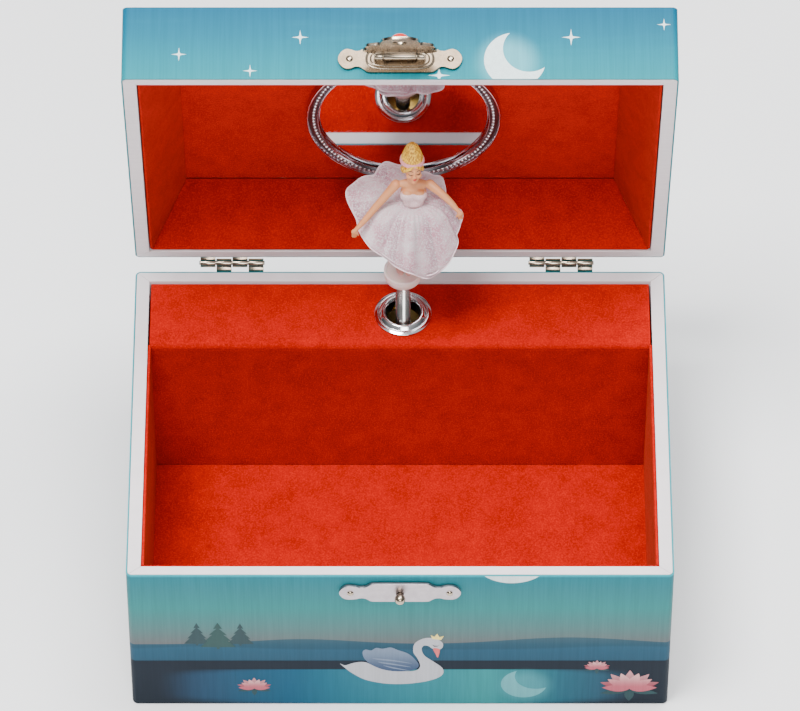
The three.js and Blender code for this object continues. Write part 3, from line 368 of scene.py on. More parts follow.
def mirror_silver():
    s = Shade("mirror_silver", srgb(236, 240, 243), 0.03, 1.0)
    s.color(s.mix(s.noise(60, 2), srgb(232, 236, 240), srgb(243, 246, 248)))
    return s.material


def jewel_red():
    s = Shade("jewel_red", srgb(214, 34, 30), 0.08, Coat_Weight=1.0, Coat_Roughness=0.03)
    s.set("IOR", 1.6)
    s.color(s.mix(s.noise(500, 2), srgb(196, 20, 24), srgb(228, 52, 40)))
    return s.material


def plastic(name, color, rough=0.35, subsurface=0.25):
    s = Shade(name, srgb(*color), rough, Subsurface_Weight=subsurface, Subsurface_Scale=0.0015)
    base = srgb(*color)
    s.color(s.mix(s.noise(500, 4), tuple(c * 0.93 for c in base), base))
    s.roughness(s.noise(1300, 3), rough - 0.05, rough + 0.1)
    s.bump(s.noise(2200, 2), 0.04, 0.0001)
    return s.material


def hair_paint():
    s = Shade("hair_paint", srgb(232, 186, 60), 0.4)
    strands = s.noise(1.0, 3, 0.6, s.scaled((2400, 2400, 140)))
    s.color(s.mix(s.span(strands, 0.35, 0.65), srgb(170, 108, 14), srgb(246, 200, 60)))
    s.bump(strands, 0.5, 0.0003)
    return s.material


def satin_pink():
    s = Shade("satin_pink", srgb(240, 205, 205), 0.3, Sheen_Weight=0.3)
    sparkle = s.noise(5200, 2)
    s.color(s.mix(s.span(sparkle, 0.45, 0.7), srgb(226, 184, 186), srgb(250, 230, 230)))
    s.bump(sparkle, 0.3, 0.0002)
    return s.material


def net(name, low, high):
    """Shiny open net: a fine crossed weave that catches the light thread by thread."""
    s = Shade(name, srgb(*high), 0.42, Sheen_Weight=0.6, Sheen_Roughness=0.3)
    uv = s.node("ShaderNodeTexCoord").outputs["UV"]
    threads = []
    for direction in ("X", "Y"):
        wave = s.node("ShaderNodeTexWave", bands_direction=direction)
        s.link(uv, wave.inputs["Vector"])
        wave.inputs["Scale"].default_value = 62
        wave.inputs["Distortion"].default_value = 1.2
        threads.append(wave.outputs["Fac"])
    weave = s.math("MAXIMUM", *threads)
    tone = s.noise(180, 4, 0.6)
    base = s.mix(s.span(tone, 0.32, 0.68), srgb(*low), srgb(*high))
    glint = s.noise(2400, 2, 0.6)
    s.color(s.mix(s.span(glint, 0.47, 0.62, 0.0, 0.85), base, srgb(255, 252, 252)))
    s.bump(s.math("ADD", weave, s.math("MULTIPLY", glint, 2.0)), 0.6, 0.0003)
    s.link(s.span(weave, 0.1, 0.6, 0.86, 1.0), s.shader.inputs["Alpha"])
    return s.material


def bottom_paper():
    s = Shade("bottom_paper", srgb(52, 56, 62), 0.8)
    s.color(s.mix(s.noise(700, 4), srgb(42, 45, 51), srgb(66, 70, 76)))
    s.bump(s.noise(1800, 3), 0.2, 0.0002)
    return s.material


MATERIAL = {
    "white_edge": white_edge(),
    "felt": red_felt(),
    "nickel": nickel("nickel", (168, 154, 136), 0.2),
    "chrome": nickel("chrome", (224, 224, 226), 0.12),
    "steel": nickel("steel", (176, 178, 182), 0.34),
    "brass": nickel("brass", (206, 168, 88), 0.3),
    "base_print": base_print(),
    "lid_print": lid_print(),
    "mirror": mirror_silver(),
    "trim": nickel("trim", (196, 186, 192), 0.12),
    "beads": nickel("beads", (236, 236, 240), 0.14),
    # Dark red metal for the mirror channel's floor: painted shade in the channel with a painted reflection
    # of the red felt.
    "channel_painted_shade_and_reflection": nickel("channel_painted_shade_and_reflection", (92, 62, 62), 0.3),
    "jewel": jewel_red(),
    # The hasp plate's nickel darkened to a brownish grey: painted shade, held dark against the bright top
    # light its flat face reflects.
    "nickel_painted_shade": nickel("nickel_painted_shade", (126, 110, 92), 0.26),
    "pedestal": plastic("pedestal_pink", (255, 238, 231)),
    "skin": plastic("skin_paint", (222, 150, 100), 0.42, 0.12),
    "shoes": plastic("shoe_paint", (236, 170, 160), 0.35, 0.1),
    "lips": plastic("lip_paint", (196, 44, 48), 0.3, 0.0),
    "lashes": plastic("lash_paint", (52, 34, 26), 0.5, 0.0),
    "hair": hair_paint(),
    "bodice": satin_pink(),
    "ribbon": plastic("ribbon_paint", (228, 150, 156), 0.35, 0.1),
    "net": net("net_outer", (226, 156, 176), (255, 226, 234)),
    # The same net made darker for the layer beneath: painted shade under the outer net.
    "net_under_painted_shade": net("net_under_painted_shade", (206, 142, 164), (242, 204, 214)),
    "hem": plastic("hem_thread", (250, 226, 232), 0.4, 0.0),
    "bottom": bottom_paper(),
    "steel_bright": nickel("steel_bright", (214, 212, 208), 0.18),
    "satin_nickel": nickel("satin_nickel", (178, 168, 172), 0.36),
}


# ------------------------------------------------------------------ mesh helpers

def linked(name, data):
    made = bpy.data.objects.new(name, data)
    bpy.context.collection.objects.link(made)
    return made


def new_object(name, mesh, material, body, smooth=True, replaced=()):
    made = linked(name, mesh)
    mesh.materials.clear()
    mesh.materials.append(MATERIAL[material] if isinstance(material, str) else material)
    if smooth:
        for polygon in mesh.polygons:
            polygon.use_smooth = True
        mesh.set_sharp_from_angle(angle=math.radians(42))
    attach(made, body)
    if replaced:
        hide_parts(*replaced)
    return made


def mesh_from(vertices, faces):
    mesh = bpy.data.meshes.new("shape")
    mesh.from_pydata([tuple(v) for v in vertices], [], faces)
    mesh.validate()
    mesh.update()
    return mesh


def outward(mesh, weld=False, lift=0.0):
    """Turns the faces outwards, first joining points that coincide and then lifting it where asked."""
    work = bmesh.new()
    work.from_mesh(mesh)
    if weld:
        bmesh.ops.remove_doubles(work, verts=work.verts, dist=WELD)
    bmesh.ops.recalc_face_normals(work, faces=work.faces)
    if lift:
        bmesh.ops.translate(work, verts=work.verts, vec=(0, 0, lift))
    work.to_mesh(mesh)
    work.free()
    return mesh


def bands(rings, points):
    """Faces between rings of points, each ring a loop and the last joined to the first."""
    faces = []
    for i in range(rings):
        j = (i + 1) % rings
        for k in range(points):
            n = (k + 1) % points
            faces.append((i * points + k, j * points + k, j * points + n, i * points + n))
    return faces


def catmull(a, b, c, d, t):
    """The point a share t of the way from b to c, on a smooth curve through all four."""
    return 0.5 * ((2 * b) + (c - a) * t + (2 * a - 5 * b + 4 * c - d) * t ** 2
                  + (3 * b - a - 3 * c + d) * t ** 3)


def merged(meshes, name="shape"):
    work = bmesh.new()
    for mesh in meshes:
        work.from_mesh(mesh)
    made = bpy.data.meshes.new(name)
    work.to_mesh(made)
    work.free()
    return made


def sharp_bevel(made, width, segments=2, angle=35):
    bevel = made.modifiers.new("edges", "BEVEL")
    bevel.width = width * MM
    bevel.segments = segments
    bevel.limit_method = "ANGLE"
    bevel.angle_limit = math.radians(angle)


def lathe(profile, sides=64):
    """A closed turned shape about Z from (radius, height) pairs in millimetres."""
    vertices = []
    for i in range(sides):
        a = TAU * i / sides
        for radius, height in profile:
            vertices.append((radius * MM * math.cos(a), radius * MM * math.sin(a), height * MM))
    return outward(mesh_from(vertices, bands(sides, len(profile))), weld=True)


def rounded(points, radius=0.15, steps=3):
    """Rounds the corners of a (radius, height) loop, so a turned shape catches light on its edges."""
    out = []
    count = len(points)
    for i, here in enumerate(points):
        p = Vector(here)
        before, after = Vector(points[i - 1]), Vector(points[(i + 1) % count])
        a, b = before - p, after - p
        if p.x < 1e-6 or a.length < 1e-6 or b.length < 1e-6:
            out.append(tuple(p))
            continue
        cut = min(radius, a.length * 0.45, b.length * 0.45)
        start, end = p + a.normalized() * cut, p + b.normalized() * cut
        for k in range(steps + 1):
            t = k / steps
            q = start * (1 - t) ** 2 + p * 2 * t * (1 - t) + end * t ** 2
            out.append(tuple(q))
    return out


def tube(points, radii, sides=12):
    """A round tube through points in millimetres, with its own radius at each one."""
    points = [Vector(p) for p in points]
    vertices, faces = [], []
    side = Vector((1, 0, 0))
    for i, p in enumerate(points):
        ahead = points[min(i + 1, len(points) - 1)]
        behind = points[max(i - 1, 0)]
        forward = (ahead - behind).normalized()
        side = (side - forward * side.dot(forward))
        if side.length < 1e-4:
            side = forward.orthogonal()
        side.normalize()
        other = forward.cross(side)
        for k in range(sides):
            a = TAU * k / sides
            vertices.append((p + (side * math.cos(a) + other * math.sin(a)) * radii[i]) * MM)
    for i in range(len(points) - 1):
        for k in range(sides):
            n = (k + 1) % sides
            faces.append((i * sides + k, i * sides + n, (i + 1) * sides + n, (i + 1) * sides + k))
    faces.append(tuple(reversed(range(sides))))
    faces.append(tuple((len(points) - 1) * sides + k for k in range(sides)))
    return outward(mesh_from(vertices, faces))


def smooth_path(points, steps=8):
    """Catmull-Rom points through a short list of tuples of any length."""
    points = [Vector(p) for p in points]
    out = []
    for i in range(len(points) - 1):
        a = points[max(i - 1, 0)]
        b, c = points[i], points[i + 1]
        d = points[min(i + 2, len(points) - 1)]
        for k in range(steps):
            t = k / steps
            out.append(catmull(a, b, c, d, t))
    out.append(points[-1])
    return out


def ball(centre, radii, turn=(0, 0, 0), detail=24):
    work = bmesh.new()
    bmesh.ops.create_uvsphere(work, u_segments=detail, v_segments=detail // 2, radius=1)
    mesh = bpy.data.meshes.new("ball")
    work.to_mesh(mesh)
    work.free()
    about_x, about_y, about_z = (Matrix.Rotation(a, 4, name) for a, name in zip(turn, "XYZ"))
    sizes = Matrix.Diagonal((*[r * MM for r in radii], 1))
    mesh.transform(Matrix.Translation(Vector(centre) * MM) @ (about_z @ about_y @ about_x) @ sizes)
    return mesh


def slab(outline, thickness, holes=()):
    """A flat plate: an outline and round holes in X and Y (millimetres), thickness up from Z = 0."""
    curve = bpy.data.curves.new("outline", "CURVE")
    curve.dimensions = "2D"
    curve.fill_mode = "BOTH"
    for loop in (outline, *holes):
        spline = curve.splines.new("POLY")
        spline.points.add(len(loop) - 1)
        for point, (x, y) in zip(spline.points, loop):
            point.co = (x * MM, y * MM, 0, 1)
        spline.use_cyclic_u = True
    curve.extrude = thickness * MM / 2
    mesh = evaluated(linked("outline", curve))
    return outward(mesh, weld=True, lift=thickness * MM / 2)


def circle(radius, centre=(0, 0), count=24):
    return [(centre[0] + radius * math.cos(TAU * i / count), centre[1] + radius * math.sin(TAU * i / count))
            for i in range(count)]


def soft_loop(points, steps=6):
    """A smooth closed outline through a few points."""
    loop = [Vector(p) for p in points]
    count = len(loop)
    out = []
    for i in range(count):
        a, b, c, d = loop[i - 1], loop[i], loop[(i + 1) % count], loop[(i + 2) % count]
        for k in range(steps):
            t = k / steps
            out.append(tuple(catmull(a, b, c, d, t)))
    return out


# Flat shapes are drawn in X and Y, then stood on the front face with Y up and Z towards the viewer.
STAND_UP = Matrix.Rotation(math.pi / 2, 4, "X")
ALONG_X = Matrix.Rotation(math.pi / 2, 4, "Y")


def on_front(mesh, x, y, z, more=None):
    """Stands a flat shape on a front face at (x, z), its back at y. Metres."""
    mesh.transform(Matrix.Translation((x, y, z)) @ STAND_UP)
    if more is not None:
        mesh.transform(more)
    return mesh


def evaluated(holder):
    depsgraph = bpy.context.evaluated_depsgraph_get()
    mesh = bpy.data.meshes.new_from_object(holder.evaluated_get(depsgraph))
    bpy.data.objects.remove(holder)
    return mesh


# ------------------------------------------------------------------ carcass, felt and movement

def dress_cad():
    """Materials, and small rounded edges, for the CAD nodes that stay."""
    groups = {
        "white_edge": ["base_front_board", "base_back_board", "base_left_board", "base_right_board",
                       "lid_front_board", "lid_back_board", "lid_left_board", "lid_right_board",
                       "lid_top_board"],
        "bottom": ["base_bottom_board"],
        "base_print": ["base_print_wrap"],
        "lid_print": ["lid_print_wrap"],
        "felt": ["movement_cover_top"],
        "steel": ["movement_bedplate", "tone_comb", "comb_screw_1", "comb_screw_2", "governor_fly",
                  "spring_housing", "mainspring", "winding_arbor"],
        "brass": ["cylinder_bearing_left", "cylinder_bearing_right", "governor_frame", "pinned_cylinder",
                  "comb_spacer", "governor_wheel", "drive_spindle", "spindle_bracket", "great_wheel"],
        "mirror": ["mirror_glass"],
    }
    for material, names in groups.items():
        for name in names:
            node = NODES[name]
            for slot in node.material_slots:
                slot.material = MATERIAL[material]
    for name in groups["white_edge"]:
        sharp_bevel(NODES[name], 0.12)
    sharp_bevel(NODES["movement_cover_top"], 0.25, 2, 50)


def felt_cards():
    """Each felt-covered card: its CAD slab, cut fine, with soft edges and an uneven napped face."""
    names = [n for n in NODES if n.startswith(("tray_", "lid_lining_"))] + ["movement_cover_front"]
    for name in sorted(names):
        mesh = NODES[name].data.copy()
        work = bmesh.new()
        work.from_mesh(mesh)
        bmesh.ops.remove_doubles(work, verts=work.verts, dist=1e-6)
        bmesh.ops.join_triangles(work, faces=work.faces, angle_face_threshold=0.1, angle_shape_threshold=3.1)
        long_edges = [e for e in work.edges if e.calc_length() > 0.004]
        bmesh.ops.subdivide_edges(work, edges=long_edges, cuts=30, use_grid_fill=True)
        if name.startswith("lid"):
            centre = sum((v.co for v in work.verts), Vector()) / len(work.verts)
            bmesh.ops.scale(work, verts=work.verts, vec=(1.005,) * 3, space=Matrix.Translation(-centre))
        for v in work.verts:
            lift = noise.noise(v.co * 260) * 0.00005 + noise.noise(v.co * 900) * 0.00003
            v.co += v.normal * lift
        work.to_mesh(mesh)
        work.free()
        body = "lid" if name.startswith("lid") else "base"
        card = new_object(f"{name}_felt", mesh, "felt", body, replaced=(name,))
        sharp_bevel(card, 0.22, 2, 60)


def grommet():
    low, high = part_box("post_grommet")
    outer = (high.x - low.x) / 2 / MM
    z = low.z / MM
    face = PLATFORM / MM + 0.1
    bore = 4.68
    profile = rounded([
        (bore, z), (bore + 0.7, z), (bore + 0.7, face), (outer, face), (outer, face + 0.3),
        (outer - 0.9, face + 0.75), (outer - 1.25, face + 0.62), (outer - 1.6, face + 1.0),
        (outer - 2.2, face + 1.62), (outer - 2.75, face + 1.7), (bore + 0.25, face + 1.25),
        (bore, face + 0.7),
    ], 0.3, 4)
    mesh = lathe(profile, 96)
    mesh.transform(ON_POST)
    new_object("grommet_ring", mesh, "chrome", "base", replaced=("post_grommet",))


def spring_post():
    """Close-wound coil: one wire in touching turns."""
    low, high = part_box("flex_spring")
    wire = 0.36
    radius = (high.x - low.x) / 2 / MM - wire
    bottom, top = low.z / MM + wire, high.z / MM - wire
    turns = round((top - bottom) / (2.12 * wire))
    steps = 20
    points = []
    for i in range(turns * steps + 1):
        a = TAU * i / steps
        height = bottom + (top - bottom) * i / (turns * steps)
        points.append((radius * math.cos(a), radius * math.sin(a), height))
    mesh = tube(points, [wire] * len(points), 7)
    mesh.transform(ON_POST)
    return new_object("spring_coil", mesh, "steel_bright", "base", replaced=("flex_spring",))


def pedestal():
    radius = (PEDESTAL_HIGH.x - PEDESTAL_LOW.x) / 2 / MM
    z0, z1 = PEDESTAL_LOW.z / MM, PEDESTAL_HIGH.z / MM
    profile = rounded([
        (0, z0), (radius - 0.35, z0), (radius - 0.1, z0 + 1.2), (radius, z0 + 1.35), (radius, z1),
        (radius - 0.75, z1), (radius - 0.9, z1 - 0.25), (0, z1 - 0.25),
    ], 0.25, 4)
    mesh = lathe(profile, 72)
    mesh.transform(ON_POST)
    new_object("pedestal_disc", mesh, "pedestal", "figure", replaced=("pedestal",))


# ------------------------------------------------------------------ printed picture

INK_THICKNESS = 0.03


def on_base(name, outline, material, lift=0.03):
    """A printed shape on the base's front, from an outline in millimetres of X and height."""
    mesh = slab(outline, INK_THICKNESS)
    on_front(mesh, 0, FRONT - lift * MM + INK_THICKNESS * MM, 0)
    return new_object(name, mesh, material, "base", smooth=False)


def on_lid(name, outline, material, lift):
    """A printed shape on the lid's front, from an outline in X and height above the seam."""
    mesh = slab(outline, INK_THICKNESS)
    on_front(mesh, 0, FRONT - lift * MM + INK_THICKNESS * MM, LID_LOW.z - 0.1 * MM, OPEN_LID)
    return new_object(name, mesh, material, "lid", smooth=False)


def star_outline(x, y, reach, pinch=0.16):
    points = []
    for i in range(32):
        a = TAU * i / 32
        r = reach * (abs(math.cos(a)) ** 0.667 + abs(math.sin(a)) ** 0.667) ** -3.2
        r = max(r, reach * pinch)
        points.append((x + r * math.cos(a), y + r * math.sin(a)))
    return points


def pine_outline(x, foot, height, half, tiers=4):
    """A stepped fir with a short trunk."""
    right = [(0, height)]
    for i in range(tiers):
        level = height * (1 - (i + 1) / (tiers + 0.35))
        out = half * (i + 1) / tiers
        right.append((out, level))
        if i < tiers - 1:
            right.append((out - half * 0.2, level + 0.1))
    right += [(half * 0.08, right[-1][1] - 0.1), (half * 0.08, 0)]
    loop = right + [(-px, py) for px, py in reversed(right[1:])]
    return [(x + px, foot + py) for px, py in loop]


def petal(x, y, length, width, angle):
    points = []
    for i in range(16):
        t = i / 15
        w = width * math.sin(math.pi * t ** 0.8) ** 0.9
        points.append((t * length, w / 2))
    loop = points + [(px, -py) for px, py in reversed(points[1:-1])]
    c, s = math.cos(angle), math.sin(angle)
    return [(x + px * c - py * s, y + px * s + py * c) for px, py in loop]


def water_lily(name, x, y, size, inks):
    """Petals in two rows over three leaves."""
    for i, a in enumerate((192, 348, 270)):
        leaf = petal(x, y - 0.18 * size, size * (0.62 if i < 2 else 0.4), size * 0.2, math.radians(a))
        on_base(f"{name}_leaf_{i + 1}", leaf, inks["leaf"], 0.03)
    pale = ink(f"{name}_pale", (214, 166, 164), (176, 84, 98), y - 0.1 * size, y + 0.45 * size)
    deep = ink(f"{name}_deep", (190, 132, 136), (142, 54, 70), y - 0.1 * size, y + 0.45 * size)
    rows = [((20, 160, 52, 128, 90), 0.66, deep), ((4, 176, 36, 144, 71, 109), 0.58, pale)]
    for row, (angles, reach, tint) in enumerate(rows):
        for i, a in enumerate(angles):
            shape = petal(x, y - 0.14 * size, size * reach, size * 0.24, math.radians(a))
            on_base(f"{name}_petal_{row + 1}_{i + 1}", shape, tint, 0.05 + 0.015 * row + 0.002 * i)


def crescent_outline(x, y, radius, bite, shift, count=40):
    """A crescent: the disc less a second disc moved by shift."""
    sx, sy = shift
    d = math.hypot(sx, sy)
    toward = math.atan2(sy, sx)
    cosine = (radius ** 2 + d ** 2 - bite ** 2) / (2 * radius * d)
    half = math.acos(max(-1, min(1, cosine)))
    outer = []
    for i in range(count + 1):
        a = toward + half + (TAU - 2 * half) * i / count
        outer.append((radius * math.cos(a), radius * math.sin(a)))
    start = math.atan2(outer[-1][1] - sy, outer[-1][0] - sx)
    end = math.atan2(outer[0][1] - sy, outer[0][0] - sx)
    while start < end:
        start += TAU
    inner = []
    for i in range(1, count):
        a = start + (end - start) * i / count
        inner.append((sx + bite * math.cos(a), sy + bite * math.sin(a)))
    return [(x + px, y + py) for px, py in outer + inner]


def clipped(outline, low=None, high=None):
    """Cuts an outline at a lowest or highest second coordinate."""
    def side(points, limit, keep_above):
        out = []
        for i, p in enumerate(points):
            q = points[i - 1]
            inside = (p[1] >= limit) if keep_above else (p[1] <= limit)
            was = (q[1] >= limit) if keep_above else (q[1] <= limit)
            if inside != was:
                t = (limit - q[1]) / (p[1] - q[1])
                out.append((q[0] + t * (p[0] - q[0]), limit))
            if inside:
                out.append(p)
        return out
    if low is not None:
        outline = side(outline, low, True)
    if high is not None:
        outline = side(outline, high, False)
    return outline


def swan(inks):
    """A plain swan: body, neck, head, bill, wing and a small tuft."""
    body = soft_loop([
        (-16.6, 19.0), (-15.2, 18.2), (-12.6, 19.4), (-9.6, 19.6), (-6.0, 17.0), (-1.0, 15.6), (4.0, 15.6),
        (5.6, 17.6), (5.0, 21.0), (3.7, 24.6), (4.2, 28.6), (7.0, 30.9), (10.0, 30.6), (11.8, 28.6),
        (11.7, 26.4), (10.4, 25.4), (9.0, 26.0), (7.9, 27.2), (6.6, 27.4), (6.0, 25.6), (6.9, 22.6),
        (9.6, 19.6), (11.9, 16.6), (11.6, 13.4), (8.0, 10.9), (2.0, 9.5), (-4.0, 9.6), (-9.6, 11.4),
        (-13.4, 14.6), (-15.6, 17.4),
    ])
    on_base("swan_body", body, inks["swan"], 0.06)
    wing = soft_loop([
        (-10.4, 24.2), (-9.6, 25.6), (-8.0, 25.2), (-6.6, 26.4), (-4.8, 26.0), (-2.6, 26.6), (-0.6, 25.4),
        (2.2, 23.8), (4.2, 21.0), (5.2, 18.4), (4.2, 16.4), (0.4, 15.4), (-4.0, 16.0), (-7.6, 18.2),
        (-9.8, 21.2),
    ])
    on_base("swan_wing", wing, inks["wing"], 0.09)
    for i in range(3):
        y = 20.6 - 1.7 * i
        feather = soft_loop([(-7.4 + 1.4 * i, y + 1.0), (-2.0, y + 0.2), (3.4 - 0.3 * i, y - 1.5),
                             (-1.6, y - 0.5), (-6.2 + 1.4 * i, y + 0.3)])
        on_base(f"swan_feather_{i + 1}", feather, inks["feather"], 0.12)
    bill = soft_loop([(9.2, 26.1), (10.8, 25.9), (11.0, 24.6), (10.5, 21.9), (9.9, 23.4)])
    on_base("swan_bill", bill, inks["bill"], 0.09)
    eye = [(8.9, 27.9), (9.5, 27.4), (10.3, 27.3), (10.9, 27.7), (10.3, 27.1), (9.4, 27.1)]
    on_base("swan_eye", eye, inks["dark"], 0.12)
    tuft = [(8.9, 30.6), (8.5, 32.3), (9.5, 31.5), (10.3, 33.0), (10.9, 31.4), (12.1, 31.9), (11.4, 30.1)]
    on_base("swan_tuft", tuft, inks["gold"], 0.09)


def picture():
    inks = {
        "leaf": ink("ink_leaf", (30, 62, 66)),
        "swan": ink("ink_swan", (176, 176, 182)),
        "wing": ink("ink_wing", (112, 128, 150), (44, 64, 96), 15, 27),
        "feather": ink("ink_feather", (112, 126, 148)),
        "bill": ink("ink_bill", (206, 96, 96)),
        "dark": ink("ink_dark", (30, 32, 36)),
        "gold": ink("ink_gold", (238, 216, 128)),
        "pine": [ink("ink_pine_a", (34, 58, 62)), ink("ink_pine_b", (36, 68, 66))],
        "light": ink("ink_light", (214, 232, 232)),
        "pale": ink("ink_pale", (88, 158, 164)),
    }
    pines = [(-56.2, 27.5, 10.4, 3.6), (-50.4, 25.8, 12.2, 4.9), (-44.2, 27.4, 10.2, 3.7)]
    for i, (x, foot, height, half) in enumerate(pines):
        outline = pine_outline(x, foot, height, half)
        on_base(f"pine_{i + 1}", outline, inks["pine"][i % 2], 0.03 + 0.02 * (i % 2))
    swan(inks)
    water_lily("lily_left", -40.7, 8.4, 7.6, inks)
    water_lily("lily_far", 54.8, 17.6, 5.8, inks)
    water_lily("lily_near", 64.1, 9.0, 13.2, inks)
    reflection = crescent_outline(34.6, 9.4, 6.4, 6.0, (3.4, 3.6))
    on_base("moon_reflection", clipped(reflection, low=0.8), inks["pale"], 0.03)
    moon_low = crescent_outline(30.6, 66.6, 10.4, 8.6, (3.9, 3.6))
    on_base("moon_on_base", clipped(moon_low, high=RIM / MM - 0.15), inks["light"], 0.05)
    stars = [(-59.5, 7.6, 2.1), (-26.9, 12.8, 2.3), (-40.3, 2.6, 2.0), (10.5, 1.2, 3.0), (46.1, 12.8, 2.6),
             (71.2, 16.7, 1.9)]
    for i, (x, y, reach) in enumerate(stars):
        outline = star_outline(x, y, reach)
        on_lid(f"star_{i + 1}", clipped(outline, low=0.25), inks["light"], 0.04)
    moon = crescent_outline(30.9, 5.9, 8.3, 7.0, (3.8, 3.4))
    on_lid("moon_on_lid", clipped(moon, low=0.15), inks["light"], 0.05)
    lid_top_stars(inks)


def lid_top_stars(inks):
    """A few stars and a crescent on the lid's top face, continuing the sky of its front."""
    draw = random.Random(7)
    top = LID_HIGH.z + INK_THICKNESS * MM
    shapes = [crescent_outline(34, 12, 13, 11, (5.6, 4.6))]
    for i in range(14):
        shapes.append(star_outline(draw.uniform(-66, 66), draw.uniform(-44, 46), draw.uniform(1.6, 3.0)))
    for i, outline in enumerate(shapes):
        mesh = slab(outline, INK_THICKNESS)
        mesh.transform(OPEN_LID @ Matrix.Translation((0, 0, top - INK_THICKNESS * MM)))
        new_object(f"top_light_{i + 1}", mesh, inks["light"], "lid", smooth=False)


# ------------------------------------------------------------------ mirror

def oval_ring(half_x, half_y, section, sides=120):
    """A section carried round an oval; section points are (inset, rise)."""
    vertices = []
    for i in range(sides):
        a = TAU * i / sides
        for inset, rise in section:
            x, y = (half_x - inset) * math.cos(a), (half_y - inset) * math.sin(a)
            vertices.append((x * MM, y * MM, rise * MM))
    return outward(mesh_from(vertices, bands(sides, len(section))))


def mirror_frame():
    """Oval frame: two polished lips with a beaded channel between them."""
    low, high = shut_box("mirror_frame")
    centre = (low + high) / 2
    half_x, half_y = (high.x - low.x) / 2 / MM, (high.y - low.y) / 2 / MM
    drop = (high.z - low.z) / MM
    section = rounded([
        (0, 0), (0, -drop * 0.7), (0.2, -drop * 0.96), (0.5, -drop), (0.8, -drop * 0.5), (2.9, -drop * 0.5),
        (3.1, -drop * 0.9), (3.35, -drop * 0.94), (3.6, -drop * 0.7), (3.8, -drop * 0.56),
        (3.3, -drop * 0.42), (3.3, 0),
    ], 0.1, 2)
    place = OPEN_LID @ Matrix.Translation((centre.x, centre.y, high.z))
    ring = oval_ring(half_x, half_y, section)
    ring.transform(place)
    new_object("mirror_ring", ring, "trim", "lid", replaced=("mirror_frame",))
    # A thin dark red sheet on the channel's floor, over the ring's own floor: painted shade in the channel
    # and a painted reflection of the red felt.
    floor = oval_ring(half_x, half_y, [(0.8, -drop * 0.53), (2.95, -drop * 0.53), (2.95, -drop * 0.49),
                                       (0.8, -drop * 0.49)])
    floor.transform(place)
    new_object("mirror_channel", floor, "channel_painted_shade_and_reflection", "lid")
    beads = []
    count = 118
    for i in range(count):
        a = TAU * i / count
        beads.append(ball(((half_x - 2.05) * math.cos(a), (half_y - 2.05) * math.sin(a), -drop * 0.6),
                          (0.47, 0.47, 0.6), detail=10))
    mesh = merged(beads)
    mesh.transform(place)
    new_object("mirror_beads", mesh, "beads", "lid")


# ------------------------------------------------------------------ hinges, catch, hasp, key

def nail_head(radius=0.95, rise=0.6):
    profile = [(0, 0), (radius, 0), (radius * 0.96, rise * 0.35), (radius * 0.6, rise * 0.85), (0, rise)]
    return lathe(rounded(profile, 0.1, 2), 20)


def hinges():
    pin_low, pin_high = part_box("hinge_left_pin")
    axis = (pin_low + pin_high) / 2
    for side in ("left", "right"):
        low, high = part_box(f"hinge_{side}_base_leaf")
        for leaf, body, knuckles, up, carry in (
            ("base", "base", (1, 3), -1, Matrix.Identity(4)),
            ("lid", "lid", (0, 2), 1, OPEN_LID),
        ):
            mesh = hinge_leaf(low.x / MM, high.x / MM, axis.y, axis.z, knuckles, up)
            mesh.transform(carry)
            node = f"hinge_{side}_{leaf}_leaf"
            made = new_object(f"hinge_{side}_{leaf}_plate", mesh, "nickel", body, smooth=False,
                              replaced=(node,))
            sharp_bevel(made, 0.08, 2, 40)
            nails = []
            for share in (0.2, 0.8):
                nail = nail_head(0.9, 0.5)
                nail.transform(Matrix.Rotation(-math.pi / 2, 4, "X"))
                x = low.x + (high.x - low.x) * share
                nail.transform(Matrix.Translation((x, BASE_HIGH.y + 1.0 * MM, axis.z + up * 6 * MM)))
                nails.append(nail)
            nails = merged(nails)
            nails.transform(carry)
            new_object(f"hinge_{side}_{leaf}_nails", nails, "nickel", body)
        pin_low, pin_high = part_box(f"hinge_{side}_pin")
        radius = (pin_high.z - pin_low.z) / 2 / MM
        length = (pin_high.x - pin_low.x) / MM
        mesh = lathe(rounded([(0, 0), (radius, 0), (radius, length), (0, length)], 0.12, 2), 24)
        mesh.transform(Matrix.Translation((pin_low.x, axis.y, axis.z)) @ ALONG_X)
        new_object(f"hinge_{side}_rod", mesh, "nickel", "base", replaced=(f"hinge_{side}_pin",))


def hinge_leaf(x0, x1, axis_y, axis_z, knuckles, up):
    """A plate on the back face with a curled knuckle at each of its places, axis along X."""
    pitch = (x1 - x0) / 4
    inner, outer, sheet, gap = 0.67, 1.25, 0.58, 0.3
    pieces = []
    back = (BASE_HIGH.y - axis_y) / MM + 0.3
    for k in knuckles:
        loop = []
        for i in range(25):
            a = math.radians(-200 + 300 * i / 24)
            loop.append((outer * math.cos(a), outer * math.sin(a)))
        for i in range(25):
            a = math.radians(100 - 300 * i / 24)
            loop.append((inner * math.cos(a), inner * math.sin(a)))
        curl = slab(loop, pitch - gap)
        neck = slab([(back, 2.2), (back + sheet, 2.6), (-0.3, 1.28), (-0.75, 0.95), (-1.15, 0.5),
                     (-1.3, 0.8)], pitch - gap)
        for mesh in (curl, neck):
            mesh.transform(Matrix(((0, 0, 1, 0), (1, 0, 0, 0), (0, 1, 0, 0), (0, 0, 0, 1))))
            mesh.transform(Matrix.Diagonal((1, 1, up, 1)))
            mesh.transform(Matrix.Translation(((x0 + k * pitch + gap / 2) * MM, 0, 0)))
            pieces.append(mesh)
    plate = slab([(x0, 2.1), (x1, 2.1), (x1, 8.4), (x1 - 0.6, 9), (x0 + 0.6, 9), (x0, 8.4)], sheet)
    plate.transform(Matrix(((1, 0, 0, 0), (0, 0, 1, 0), (0, 1, 0, 0), (0, 0, 0, 1))))
    plate.transform(Matrix.Diagonal((1, 1, up, 1)))
    plate.transform(Matrix.Translation((0, back * MM, 0)))
    pieces.append(plate)
    for piece in pieces:
        outward(piece)
    mesh = merged(pieces)
    mesh.transform(Matrix.Translation((0, axis_y, axis_z)))
    return mesh


